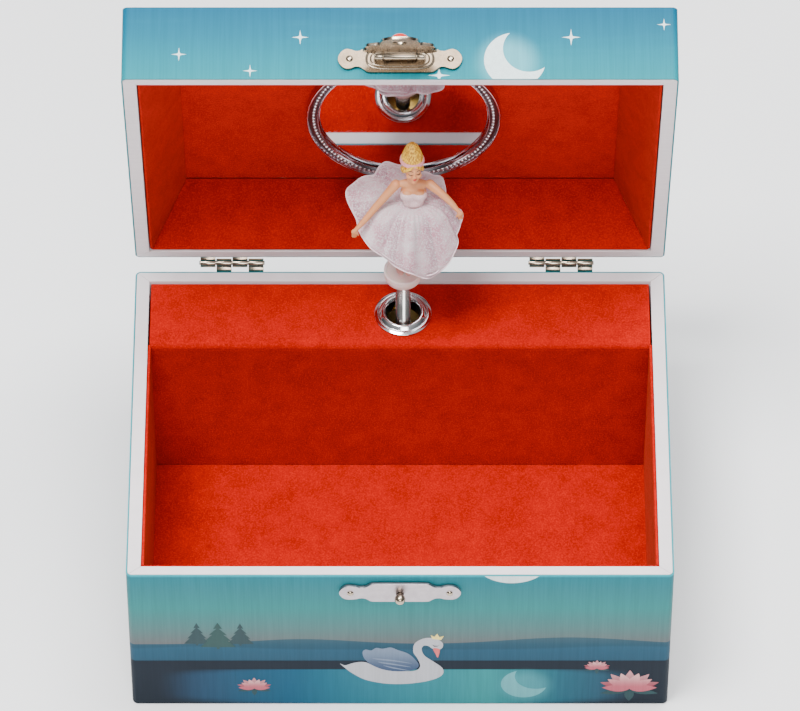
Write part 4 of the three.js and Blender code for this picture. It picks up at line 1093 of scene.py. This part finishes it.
def lobed_outline(width, height, middle):
    """Fitting outline: a straight middle, a stepped neck and a flat lobe at each end."""
    h, w, m = height / 2, width / 2, middle / 2
    right = [(0, h), (m * 0.5, h), (m * 0.9, h * 0.98), (m + 0.3, h * 0.78), (m + 1.3, h * 0.62),
             (m + 2.6, h * 0.6), (m + 3.6, h * 0.7), (w - 2.2, h * 0.74), (w - 0.8, h * 0.5), (w, 0)]
    loop = right + [(x, -y) for x, y in reversed(right[:-1])]
    loop += [(-x, y) for x, y in reversed(loop[1:-1])]
    return soft_loop(loop, 4)


def catch():
    low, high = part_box("catch_plate")
    centre = (low + high) / 2
    width, height = (high.x - low.x) / MM, (high.z - low.z) / MM
    thickness = (high.y - low.y) / MM
    pin_low, pin_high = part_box("catch_pin")
    pin_z = (pin_low.z + pin_high.z) / 2
    mesh = slab(lobed_outline(width, height, 17), thickness, [circle(1.1, (0, (pin_z - centre.z) / MM))])
    on_front(mesh, centre.x, high.y, centre.z)
    plate = new_object("catch_fitting", mesh, "satin_nickel", "base", smooth=False,
                       replaced=("catch_plate",))
    sharp_bevel(plate, 0.22, 3, 40)
    reach = (pin_high.y - pin_low.y) / MM
    profile = rounded([(0, 0), (0.9, 0), (0.9, reach - 2.7), (1.2, reach - 2.6), (1.5, reach - 1.9),
                       (1.42, reach - 0.9), (0.9, reach - 0.2), (0, reach)], 0.35, 4)
    pin = lathe(profile, 40)
    on_front(pin, 0, pin_high.y, pin_z)
    new_object("catch_knob", pin, "nickel", "base", replaced=("catch_pin",))
    nails = []
    for side in (-1, 1):
        nail = nail_head()
        on_front(nail, side * (width / 2 - 3.1) * MM, low.y, centre.z)
        nails.append(nail)
    new_object("catch_nails", merged(nails), "nickel", "base")


def hasp():
    low, high = shut_box("hasp_plate")
    width = (high.x - low.x) / MM
    plate_z = RIM + 6.0 * MM
    plate_back = high.y
    thickness = 0.8
    mesh = slab(lobed_outline(width, 8.0, 19), thickness)
    on_front(mesh, 0, plate_back, plate_z, OPEN_LID)
    # The plate's darkened nickel is painted shade.
    plate = new_object("hasp_fitting", mesh, "nickel_painted_shade", "lid", smooth=False,
                       replaced=("hasp_plate",))
    sharp_bevel(plate, 0.22, 3, 40)
    hasp_relief(plate_back - thickness * MM, plate_z)
    rod = (SHUT_PIVOT.y, SHUT_PIVOT.z)
    details = []
    for side in (-1, 1):
        x0 = side * (4.65 + 1.0)
        eye = lathe(rounded([(0.72, -1.0), (1.3, -1.0), (1.3, 1.0), (0.72, 1.0)], 0.15, 2), 28)
        eye.transform(Matrix.Translation((x0 * MM, rod[0], rod[1])) @ ALONG_X)
        foot = slab([(-1.0, -1.3), (1.0, -1.3), (1.0, -0.3), (-1.0, -0.3)],
                    (plate_back - rod[0]) / MM - 1.1)
        on_front(foot, x0 * MM, plate_back - thickness * MM, rod[1])
        details += [eye, foot]
        nail = nail_head()
        on_front(nail, side * (width / 2 - 3.1) * MM, plate_back - thickness * MM, plate_z)
        details.append(nail)
    mesh = merged(details)
    mesh.transform(OPEN_LID)
    new_object("hasp_eyes", mesh, "nickel", "lid")
    bar = lathe(rounded([(0, -7.0), (0.62, -7.0), (0.62, 7.0), (0, 7.0)], 0.3, 3), 28)
    bar.transform(OPEN_LID @ Matrix.Translation((0, rod[0], rod[1])) @ ALONG_X)
    new_object("hasp_rod", bar, "nickel", "lid", replaced=("hasp_pin",))
    hasp_flap()


def hasp_relief(face, plate_z):
    """The pressed rim round the middle of the hasp's plate."""
    rings = []
    for half_x, half_z, radius in ((9.0, 3.1, 0.32), (7.9, 2.3, 0.22)):
        points = []
        for i in range(97):
            a = TAU * i / 96
            x = half_x * math.copysign(abs(math.cos(a)) ** 0.45, math.cos(a))
            z = half_z * math.copysign(abs(math.sin(a)) ** 0.8, math.sin(a))
            points.append((x, 0, z))
        ring = tube(points, [radius] * len(points), 8)
        ring.transform(Matrix.Translation((0, face, plate_z)))
        rings.append(ring)
    mesh = merged(rings)
    mesh.transform(OPEN_LID)
    new_object("hasp_relief", mesh, "nickel", "lid")


def hasp_flap():
    """Ornate tongue that hangs over the catch: knuckle, scalloped plate, eye and a red stone in a cup."""
    reach = 17.2
    eye_z = -13.2
    stone_z = -8.2
    right = [(4.2, 0.0), (4.5, -1.8), (7.0, -2.6), (9.4, -3.6), (9.9, -5.2), (8.6, -6.8), (9.2, -8.2),
             (8.8, -9.8), (7.0, -10.6), (5.6, -11.2), (5.2, -13.0), (4.6, -15.0), (2.6, -16.8)]
    loop = right + [(0, -reach)] + [(-x, z) for x, z in reversed(right)]
    mesh = slab(soft_loop(loop, 4), 0.8, [circle(1.85, (0, eye_z), 32)])
    place = LIFT_HASP @ Matrix.Translation((0, SHUT_PIVOT.y + 0.1 * MM, SHUT_PIVOT.z)) @ STAND_UP
    mesh.transform(place)
    made = new_object("hasp_tongue", mesh, "nickel", "hasp", smooth=False, replaced=("hasp_flap",))
    sharp_bevel(made, 0.22, 3, 40)
    trims = []
    border = [(x * 0.82, z * 0.93 - 0.5, 0.8) for x, z in soft_loop(loop, 4)]
    border = [point for point in border if point[1] < -1.6]
    trims.append(tube(border, [0.24] * len(border), 7))
    for i in range(14):
        a = TAU * i / 14
        centre = (4.1 * math.cos(a), stone_z + 4.1 * math.sin(a), 0.85)
        trims.append(ball(centre, (0.38, 0.38, 0.34), detail=10))
    ring = lathe(rounded([(1.95, 0.7), (2.6, 0.7), (2.5, 1.05), (2.1, 1.05)], 0.12, 2), 32)
    ring.transform(Matrix.Translation((0, eye_z * MM, 0)))
    trims.append(ring)
    cup_profile = [(0, 0.75), (3.3, 0.75), (3.35, 1.9), (3.0, 2.3), (2.7, 2.2), (2.7, 1.2), (0, 1.2)]
    cup = lathe(rounded(cup_profile, 0.15, 2), 48)
    cup.transform(Matrix.Translation((0, stone_z * MM, 0)))
    trims.append(cup)
    mesh = merged(trims)
    mesh.transform(place)
    new_object("hasp_ornament", mesh, "nickel", "hasp")
    knuckle = lathe(rounded([(0.74, -4.3), (1.28, -4.3), (1.28, 4.3), (0.74, 4.3)], 0.15, 2), 32)
    knuckle.transform(LIFT_HASP @ Matrix.Translation(SHUT_PIVOT) @ ALONG_X)
    new_object("hasp_knuckle", knuckle, "nickel", "hasp")
    dome = [(0, 1.25), (2.65, 1.25), (2.7, 1.9)]
    dome += [(2.7 * math.cos(a), 1.9 + 2.1 * math.sin(a)) for a in [math.pi * k / 20 for k in range(1, 10)]]
    dome.append((0, 4.0))
    stone = lathe(dome, 48)
    stone.transform(Matrix.Translation((0, stone_z * MM, 0)))
    stone.transform(place)
    new_object("hasp_stone", stone, "jewel", "hasp", replaced=("hasp_jewel",))


def key():
    """Butterfly key on a square-shouldered collar, behind the box."""
    low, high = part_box("winding_key")
    x, z = (low.x + high.x) / 2, joint_point("key_turn").z
    y0, y1 = low.y / MM, high.y / MM
    profile = [(1.9, y0), (3.4, y0), (3.4, y0 + 5.6), (2.4, y0 + 6.6), (0, y0 + 6.8), (0, y0 + 5.2),
               (1.9, y0 + 5.2)]
    collar = lathe(rounded(profile, 0.3, 3), 48)
    collar.transform(Matrix.Rotation(-math.pi / 2, 4, "X"))
    half = (high.x - low.x) / 2 / MM
    right = [(1.2, y0 + 5.4), (3.2, y0 + 5.0), (6.2, y0 + 3.6), (9.4, y0 + 3.4), (half - 0.3, y0 + 6.2),
             (half - 0.4, y0 + 10.2), (8.6, y1 - 0.1), (5.0, y1 - 0.6), (2.4, y1 - 2.2)]
    loop = right + [(0, y1 - 2.6)] + [(-px, py) for px, py in reversed(right)] + [(0, y0 + 5.8)]
    holes = [circle(2.0, (side * 7.6, y0 + 8.4), 28) for side in (1, -1)]
    blade = slab(soft_loop(loop, 5), 1.2, holes)
    blade.transform(Matrix.Translation((0, 0, -0.6 * MM)))
    for mesh in (collar, blade):
        mesh.transform(Matrix.Translation((x, 0, z)))
    made = new_object("key_wings", blade, "nickel", "winding", smooth=False,
                      replaced=("winding_key",))
    sharp_bevel(made, 0.35, 3, 40)
    new_object("key_collar", collar, "nickel", "winding")


# ------------------------------------------------------------------ dancer

FIGURE_Z = PEDESTAL_HIGH.z / MM + 0.1


def in_figure(mesh):
    """From the dancer's own millimetres, feet at Z = 0 on the post's axis, to the model."""
    mesh.transform(Matrix.Translation((POST_X, POST_Y, FIGURE_Z * MM)))
    return mesh


def fused(name, meshes, voxel, smooth_steps):
    """Joins closed shapes into one smooth skin, working in millimetres for the remesh."""
    mesh = merged(meshes, name)
    mesh.transform(Matrix.Scale(1000, 4))
    holder = linked(name, mesh)
    remesh = holder.modifiers.new("skin", "REMESH")
    remesh.mode = "VOXEL"
    remesh.voxel_size = voxel
    smooth = holder.modifiers.new("smooth", "SMOOTH")
    smooth.factor = 0.5
    smooth.iterations = smooth_steps
    mesh = evaluated(holder)
    mesh.transform(Matrix.Scale(MM, 4))
    return mesh


def limb_mesh(rows, sides=16, steps=6):
    """A limb through (x, y, z, radius) rows with rounded ends."""
    path = smooth_path(rows, steps)
    points = [tuple(p[:3]) for p in path]
    radii = [max(0.05, p[3]) for p in path]
    mesh = tube(points, radii, sides)
    return [mesh, ball(points[0], (radii[0],) * 3, detail=16), ball(points[-1], (radii[-1],) * 3, detail=16)]


ARM_RIGHT = [(-2.0, 0.0, 36.6, 1.4), (-4.9, -1.8, 33.6, 1.15), (-7.8, -3.4, 30.4, 1.02),
             (-10.6, -5.2, 27.4, 0.85), (-12.9, -6.4, 25.0, 0.62)]
ARM_LEFT = [(7.4, 0.0, 36.6, 1.4), (9.8, -1.9, 35.9, 1.15), (12.0, -3.2, 34.4, 1.02),
            (13.8, -4.4, 32.9, 0.85), (15.2, -5.4, 31.6, 0.62)]


def hand(centre, side):
    x, y, z = centre
    parts = [ball((x, y, z), (0.95, 0.6, 1.3), (0, side * 0.35, 0))]
    for i in range(4):
        lean = side * (0.25 + 0.1 * i)
        fx = x + side * (0.1 + 0.34 * (i - 1.5))
        tip = (fx - side * 0.1 + lean * 0.4, y - 0.15, z - 1.9 - 0.15 * (i in (1, 2)))
        parts.append(tube([(fx, y, z - 0.5), tip], [0.26, 0.2], 8))
    thumb = [(x - side * 0.6, y - 0.2, z + 0.2), (x - side * 1.2, y - 0.5, z - 0.9)]
    parts.append(tube(thumb, [0.27, 0.2], 8))
    return parts


def dancer():
    """The doll, with its arms held out and down."""
    legs = []
    for hip, ankle in ((1.3, -0.7), (4.3, 1.7)):
        legs += limb_mesh([(hip, 0, 25, 2.2), ((hip * 0.7 + ankle * 0.3), -0.2, 19, 1.9),
                           ((hip + ankle) / 2, -0.1, 13.2, 1.4), (ankle + 0.5, 0.2, 9, 1.45),
                           (ankle, 0.1, 3, 0.85)])
    torso = [
        ball((2.8, 0.1, 24.6), (4.1, 3.1, 3.6)), ball((2.9, 0.1, 28.4), (2.7, 2.0, 3.6)),
        ball((2.85, 0.1, 33.0), (3.7, 2.3, 4.0)), ball((1.25, -1.5, 34.2), (1.75, 1.5, 1.6)),
        ball((4.45, -1.5, 34.2), (1.75, 1.5, 1.6)), ball((2.7, 0.3, 36.5), (4.7, 1.5, 1.5)),
    ]
    torso += limb_mesh([(2.7, 0.3, 36.6, 1.7), (2.65, 0.1, 38.6, 1.2), (2.6, -0.4, 41.6, 1.2)])
    arms = limb_mesh(ARM_RIGHT) + limb_mesh(ARM_LEFT)
    arms += hand((-13.4, -6.7, 23.9), -1) + hand((15.7, -5.7, 30.5), 1)
    skin = fused("dancer_skin", legs + torso + arms, 0.2, 6)
    in_figure(skin)
    new_object("dancer_skin", skin, "skin", "figure", replaced=("ballerina_figure",))
    shoes = []
    for x, y, turn in ((-0.9, -0.9, 0.25), (1.8, -1.1, -0.2)):
        shoes.append(ball((x, y, 0.95), (1.05, 2.2, 0.9), (0, 0, turn)))
        shoes.append(ball((x, y + 1.2, 1.6), (0.98, 1.1, 1.3)))
    shoes = fused("dancer_shoes", shoes, 0.15, 4)
    paint("dancer_shoes", in_figure(shoes), "shoes")
    bodice()
    head()


def paint(name, mesh, material):
    new_object(name, mesh, material, "figure")


def bodice():
    """Strapless bodice: a skin just outside the chest with a heart-shaped top edge."""
    parts = [
        ball((2.9, 0.1, 28.4), (2.95, 2.25, 3.4)), ball((2.85, 0.1, 32.4), (3.85, 2.5, 3.3)),
        ball((1.25, -1.5, 33.9), (1.95, 1.72, 1.7)), ball((4.45, -1.5, 33.9), (1.95, 1.72, 1.7)),
        ball((2.85, -0.6, 30.2), (3.0, 2.0, 3.0)),
    ]
    mesh = fused("dancer_bodice", parts, 0.16, 3)
    paint("dancer_bodice", in_figure(mesh), "bodice")


HEAD_CENTRE = Vector((2.6, -0.8, 43.7))
HEAD_SIZE = 0.88
HEAD_TURN = (Matrix.Rotation(math.radians(14), 4, "Z") @ Matrix.Rotation(math.radians(-14), 4, "X")
             @ Matrix.Rotation(math.radians(5), 4, "Y"))


def place_head(mesh):
    mesh.transform(Matrix.Translation(HEAD_CENTRE * MM) @ HEAD_TURN @ Matrix.Scale(HEAD_SIZE, 4))
    return in_figure(mesh)


def head():
    """Head, piled hair, headband and painted features, each in the head's own frame."""
    parts = [
        ball((0, 0.2, 0.7), (2.75, 3.3, 3.4)), ball((0, -0.9, -1.6), (2.1, 2.2, 2.4)),
        ball((0, -2.1, -3.0), (1.1, 1.0, 0.9)), ball((1.35, -2.0, -0.9), (1.15, 1.1, 1.1)),
        ball((-1.35, -2.0, -0.9), (1.15, 1.1, 1.1)), ball((0, -3.35, -0.55), (0.42, 0.62, 0.5)),
        ball((0, -3.0, 0.3), (0.34, 0.5, 1.1)), ball((0, -2.95, -1.75), (0.72, 0.42, 0.36)),
    ]
    parts += limb_mesh([(0, 1.0, -4.4, 1.35), (0, 0.6, -2.0, 1.4)])
    skull = fused("dancer_head", parts, 0.11, 4)
    paint_face(skull)
    paint("dancer_head", place_head(skull), "skin")
    cap = [ball((0, 0.85, 1.6), (3.2, 3.5, 3.1))]
    for side in (-1, 1):
        for i in range(4):
            t = i / 3
            cap += limb_mesh([(side * 0.25, -2.7 + 0.2 * i, 3.0 - 0.1 * i, 0.45),
                              (side * (1.9 + 0.25 * i), -2.55 + 0.55 * i, 2.0 - 0.5 * t, 0.55),
                              (side * 3.05, -0.7 + 0.7 * i, 0.3 - 0.3 * t, 0.55),
                              (side * 2.8, 1.6 + 0.3 * i, -0.6, 0.5)], 10)
    hair = fused("dancer_hair", cap, 0.12, 2)
    paint("dancer_hair", place_head(hair), "hair")
    strands = []
    for i in range(24):
        a = TAU * i / 24
        rows = []
        for k in range(9):
            t = k / 8 * 0.97
            radius = 3.3 * (1 - t) ** 0.42
            swirl = a + 0.3 * t
            rows.append((radius * math.cos(swirl), 0.95 + 0.4 * t + radius * math.sin(swirl), 3.0 + 6.2 * t,
                         0.5 * (1 - 0.6 * t)))
        strands += limb_mesh(rows, 8, 2)
    strands += [ball((0, 1.0, 4.4), (3.1, 3.1, 2.9)), ball((0, 1.2, 6.6), (2.1, 2.1, 2.1))]
    bun = fused("dancer_bun", strands, 0.12, 1)
    paint("dancer_bun", place_head(bun), "hair")
    band = []
    for rise, out in ((0.0, 3.4), (0.5, 3.36)):
        rows = []
        for i in range(49):
            a = TAU * i / 48
            rows.append((out * 1.02 * math.cos(a), 0.85 + out * 1.04 * math.sin(a),
                         3.0 + rise + 0.35 * math.sin(a)))
        band.append(tube(rows, [0.45] * len(rows), 10))
    for side in (-1, 1):
        band.append(ball((side * 3.1, 0.5, 3.0), (0.7, 1.0, 1.15)))
    band = fused("dancer_headband", band, 0.12, 2)
    paint("dancer_headband", place_head(band), "ribbon")


def paint_face(skull):
    """Lowered lids with lashes, soft brows and closed lips, laid on the face as thin paint."""
    tree = BVHTree.FromPolygons([v.co for v in skull.vertices], [p.vertices for p in skull.polygons])

    def stroke(points, radii):
        rows = []
        for x, z in points:
            hit = tree.ray_cast(Vector((x, -9, z)) * MM, Vector((0, 1, 0)))
            rows.append(hit[0] / MM if hit[0] is not None else Vector((x, -2.8, z)))
        return tube(rows, [1.35 * radius for radius in radii], 8)

    lashes, lips = [], []
    for side in (-1, 1):
        arc = [(side * (0.55 + 0.26 * i), 0.02 - 0.22 * math.sin(math.pi * i / 5)) for i in range(6)]
        lashes.append(stroke(arc, [0.06, 0.09, 0.12, 0.13, 0.12, 0.07]))
        brow = [(side * (0.5 + 0.28 * i), 1.02 + 0.22 * math.sin(math.pi * i / 5)) for i in range(6)]
        lashes.append(stroke(brow, [0.05, 0.07, 0.08, 0.08, 0.06, 0.04]))
    upper = [(-0.62, -1.72), (-0.3, -1.6), (0, -1.68), (0.3, -1.6), (0.62, -1.72)]
    lips.append(stroke(upper, [0.05, 0.13, 0.12, 0.13, 0.05]))
    lips.append(stroke([(-0.5, -1.8), (0, -1.95), (0.5, -1.8)], [0.06, 0.17, 0.06]))
    paint("dancer_lashes", place_head(merged(lashes)), "lashes")
    paint("dancer_lips", place_head(merged(lips)), "lips")


# ------------------------------------------------------------------ skirt

WAIST = Vector((2.9, 0.1, 29.4))
WAIST_RADIUS = 2.9
CLOTH_SCALE = 100.0

# The hem as it stands round the dancer: degrees from +X, reach from the waist and height over the sole.
HEM = [
    (-62, 11.4, 9.0), (-40, 12.8, 13.5), (-12, 13.3, 20.0), (29, 12.2, 24.5), (65, 12.0, 28.0),
    (100, 12.4, 30.0), (135, 15.2, 30.5), (162, 18.2, 29.0), (184, 17.0, 25.0), (205, 15.0, 20.5),
    (232, 12.6, 16.5), (266, 11.4, 12.0),
]


def hem_at(angle):
    """Reach and height of the hem at an angle in radians, smooth all the way round."""
    degrees = (math.degrees(angle) - HEM[0][0]) % 360 + HEM[0][0]
    count = len(HEM)
    for i in range(count):
        start = HEM[i][0]
        stop = HEM[(i + 1) % count][0] + (360 if i == count - 1 else 0)
        if start <= degrees <= stop:
            t = (degrees - start) / (stop - start)
            a, b, c, d = (Vector(HEM[(i + k) % count][1:]) for k in (-1, 0, 1, 2))
            return catmull(a, b, c, d, t)
    return Vector(HEM[0][1:])


def skirt_mesh(turn, share, waves, puff):
    """Gathered net before it settles: rings out from the waist, thrown into folds that grow to the hem."""
    around, rings = 192, 24
    vertices, faces, uvs = [], [], []
    for k in range(rings + 1):
        t = k / rings
        for i in range(around):
            a = TAU * i / around
            reach, hem_z = hem_at(a)
            reach *= share
            fold = math.sin(waves * a + turn + 0.6 * math.sin(2 * a))
            fold += 0.45 * math.sin((2 * waves + 1) * a + 2 * turn)
            pleat = math.sin(31 * a + turn)
            grow = 1.7 * min(1.0, 2.2 * t) * (0.3 + 0.7 * t)
            radius = WAIST_RADIUS + (reach - WAIST_RADIUS) * t ** 0.72 + 0.4 * grow * fold
            radius += 0.16 * pleat * min(1.0, 5 * t) * (1 - t)
            z = WAIST.z + (hem_z - WAIST.z) * t ** 2.0 + puff * math.sin(math.pi * min(1.0, 1.1 * t))
            z += 0.55 * grow * fold + 0.22 * pleat * min(1.0, 5 * t) * (1 - t)
            vertices.append((WAIST.x + radius * math.cos(a), WAIST.y + radius * math.sin(a), z))
            uvs.append((i / around * 4.0, t * 0.9))
    for k in range(rings):
        for i in range(around):
            j = (i + 1) % around
            faces.append((k * around + i, k * around + j, (k + 1) * around + j, (k + 1) * around + i))
    mesh = bpy.data.meshes.new("net")
    mesh.from_pydata(vertices, [], faces)
    layer = mesh.uv_layers.new(name="net")
    for polygon in mesh.polygons:
        spread = [uvs[v][0] for v in polygon.vertices]
        wraps = max(spread) - min(spread) > 2
        for loop, vertex in zip(polygon.loop_indices, polygon.vertices):
            u, v = uvs[vertex]
            layer.data[loop].uv = (u + 4.0 if wraps and u < 1 else u, v)
    return mesh, around


def drape(mesh, pinned, frames):
    """Lets the net fall on the dancer for a few frames, at a larger scale that the solver likes."""
    mesh.transform(Matrix.Scale(CLOTH_SCALE * MM, 4))
    holder = linked("net_cloth", mesh)
    group = holder.vertex_groups.new(name="waist")
    group.add(range(pinned), 1.0, "REPLACE")
    cloth = holder.modifiers.new("fall", "CLOTH")
    settings = cloth.settings
    settings.quality = 6
    settings.mass = 0.12
    settings.tension_stiffness = 12
    settings.compression_stiffness = 12
    settings.shear_stiffness = 6
    settings.bending_stiffness = 2.0
    settings.effector_weights.gravity = 0.12
    settings.air_damping = 2.0
    settings.vertex_group_mass = "waist"
    cloth.collision_settings.use_collision = True
    cloth.collision_settings.distance_min = 0.02
    cloth.collision_settings.use_self_collision = False
    stops = []
    for rows in (ARM_RIGHT, ARM_LEFT):
        for piece in limb_mesh([(*r[:3], r[3] + 0.15) for r in rows], 12, 4)[:1]:
            stops.append(piece)
    stops.append(ball((2.8, 0.1, 24.4), (4.3, 3.3, 3.8)))
    stops.append(ball((2.9, 0.1, 28.0), (2.6, 2.0, 2.6)))
    body = merged(stops)
    body.transform(Matrix.Scale(CLOTH_SCALE, 4))
    blocker = linked("net_stop", body)
    blocker.modifiers.new("stop", "COLLISION")
    blocker.collision.thickness_outer = 0.02
    scene = bpy.context.scene
    for number in range(1, frames + 1):
        scene.frame_set(number)
    fallen = evaluated(holder)
    bpy.data.objects.remove(blocker)
    scene.frame_set(1)
    fallen.transform(Matrix.Scale(1 / CLOTH_SCALE, 4))
    return fallen


def skirt():
    layers = [
        ("skirt_outer", 0.4, 1.0, 7, 1.3, "net", 14),
        # The under layer's darker net is painted shade.
        ("skirt_under", 1.9, 0.93, 6, 0.3, "net_under_painted_shade", 12),
    ]
    for name, turn, share, waves, puff, material, frames in layers:
        mesh, pinned = skirt_mesh(turn, share, waves, puff)
        mesh = drape(mesh, pinned, frames)
        in_figure(mesh)
        replaced = ("ballerina_skirt",) if name == "skirt_outer" else ()
        made = new_object(name, mesh, material, "figure", replaced=replaced)
        thick = made.modifiers.new("net", "SOLIDIFY")
        thick.thickness = 0.12 * MM
        thick.offset = 0
        hem_cord(name, mesh, pinned)


def hem_cord(name, mesh, around):
    """Rolled hem: a fine edge that follows the net's last ring."""
    last = [mesh.vertices[i].co / MM for i in range(len(mesh.vertices) - around, len(mesh.vertices))]
    points = last + [last[0]]
    edge = tube(points, [0.22] * len(points), 6)
    new_object(f"{name}_hem", edge, "hem", "figure")


# ------------------------------------------------------------------ stage

def stage():
    floor = mesh_from([(-3, -3, 0), (3, -3, 0), (3, 3, 0), (-3, 3, 0)], [(0, 1, 2, 3)])
    shade = Shade("floor", srgb(246, 246, 247), 0.7)
    shade.color(shade.mix(shade.noise(3, 2), srgb(244, 244, 245), srgb(248, 248, 249)))
    floor.materials.append(shade.material)
    made = linked("floor", floor)
    made.location.z = -0.0002
    world = bpy.data.worlds.new("studio")
    bpy.context.scene.world = world
    world.use_nodes = True
    tree = world.node_tree
    place = tree.nodes.new("ShaderNodeTexCoord")
    split = tree.nodes.new("ShaderNodeSeparateXYZ")
    ramp = tree.nodes.new("ShaderNodeValToRGB")
    tree.links.new(place.outputs["Generated"], split.inputs[0])
    tree.links.new(split.outputs["Z"], ramp.inputs[0])
    elements = ramp.color_ramp.elements
    elements.new(0.5)
    for element, (level, grey) in zip(elements, ((0.0, 0.05), (0.35, 0.14), (0.85, 1.0))):
        element.position = level
        element.color = (grey * 0.96, grey * 0.98, grey, 1)
    tree.links.new(ramp.outputs[0], tree.nodes["Background"].inputs["Color"])
    tree.nodes["Background"].inputs["Strength"].default_value = 0.75
    lamp("key", (-0.35, -0.25, 1.5), (0, 0, 0.06), 0.6, 34)
    lamp("top", (0.25, 0.3, 1.5), (0, 0, 0.05), 0.9, 24)
    lamp("front", (0.15, -1.3, 1.0), (0, 0, 0.05), 0.7, 12)


def lamp(name, place, target, size, power):
    data = bpy.data.lights.new(name, "AREA")
    data.shape = "DISK"
    data.size = size
    data.energy = power
    made = linked(name, data)
    made.location = place
    made.rotation_euler = (Vector(target) - Vector(place)).to_track_quat("-Z", "Y").to_euler()


def camera():
    """Long lens from in front and above, as a product shot is taken."""
    data = bpy.data.cameras.new("camera")
    data.lens = 291.8
    data.sensor_width = 36
    data.clip_end = 20
    made = linked("camera", data)
    made.location = (0, -1.1204, 1.476)
    made.rotation_euler = (math.radians(90 - 51.08), 0, 0)
    bpy.context.scene.camera = made


# ------------------------------------------------------------------ whole model

camera()
stage()
dress_cad()
felt_cards()
grommet()
coil = spring_post()
pedestal()
picture()
mirror_frame()
hinges()
catch()
hasp()
key()
dancer()
skirt()

# The coil, from the platform up to the foot of the pedestal, is taken off its body and its placement baked
# into its mesh.
coil.parent = None
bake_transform(coil)
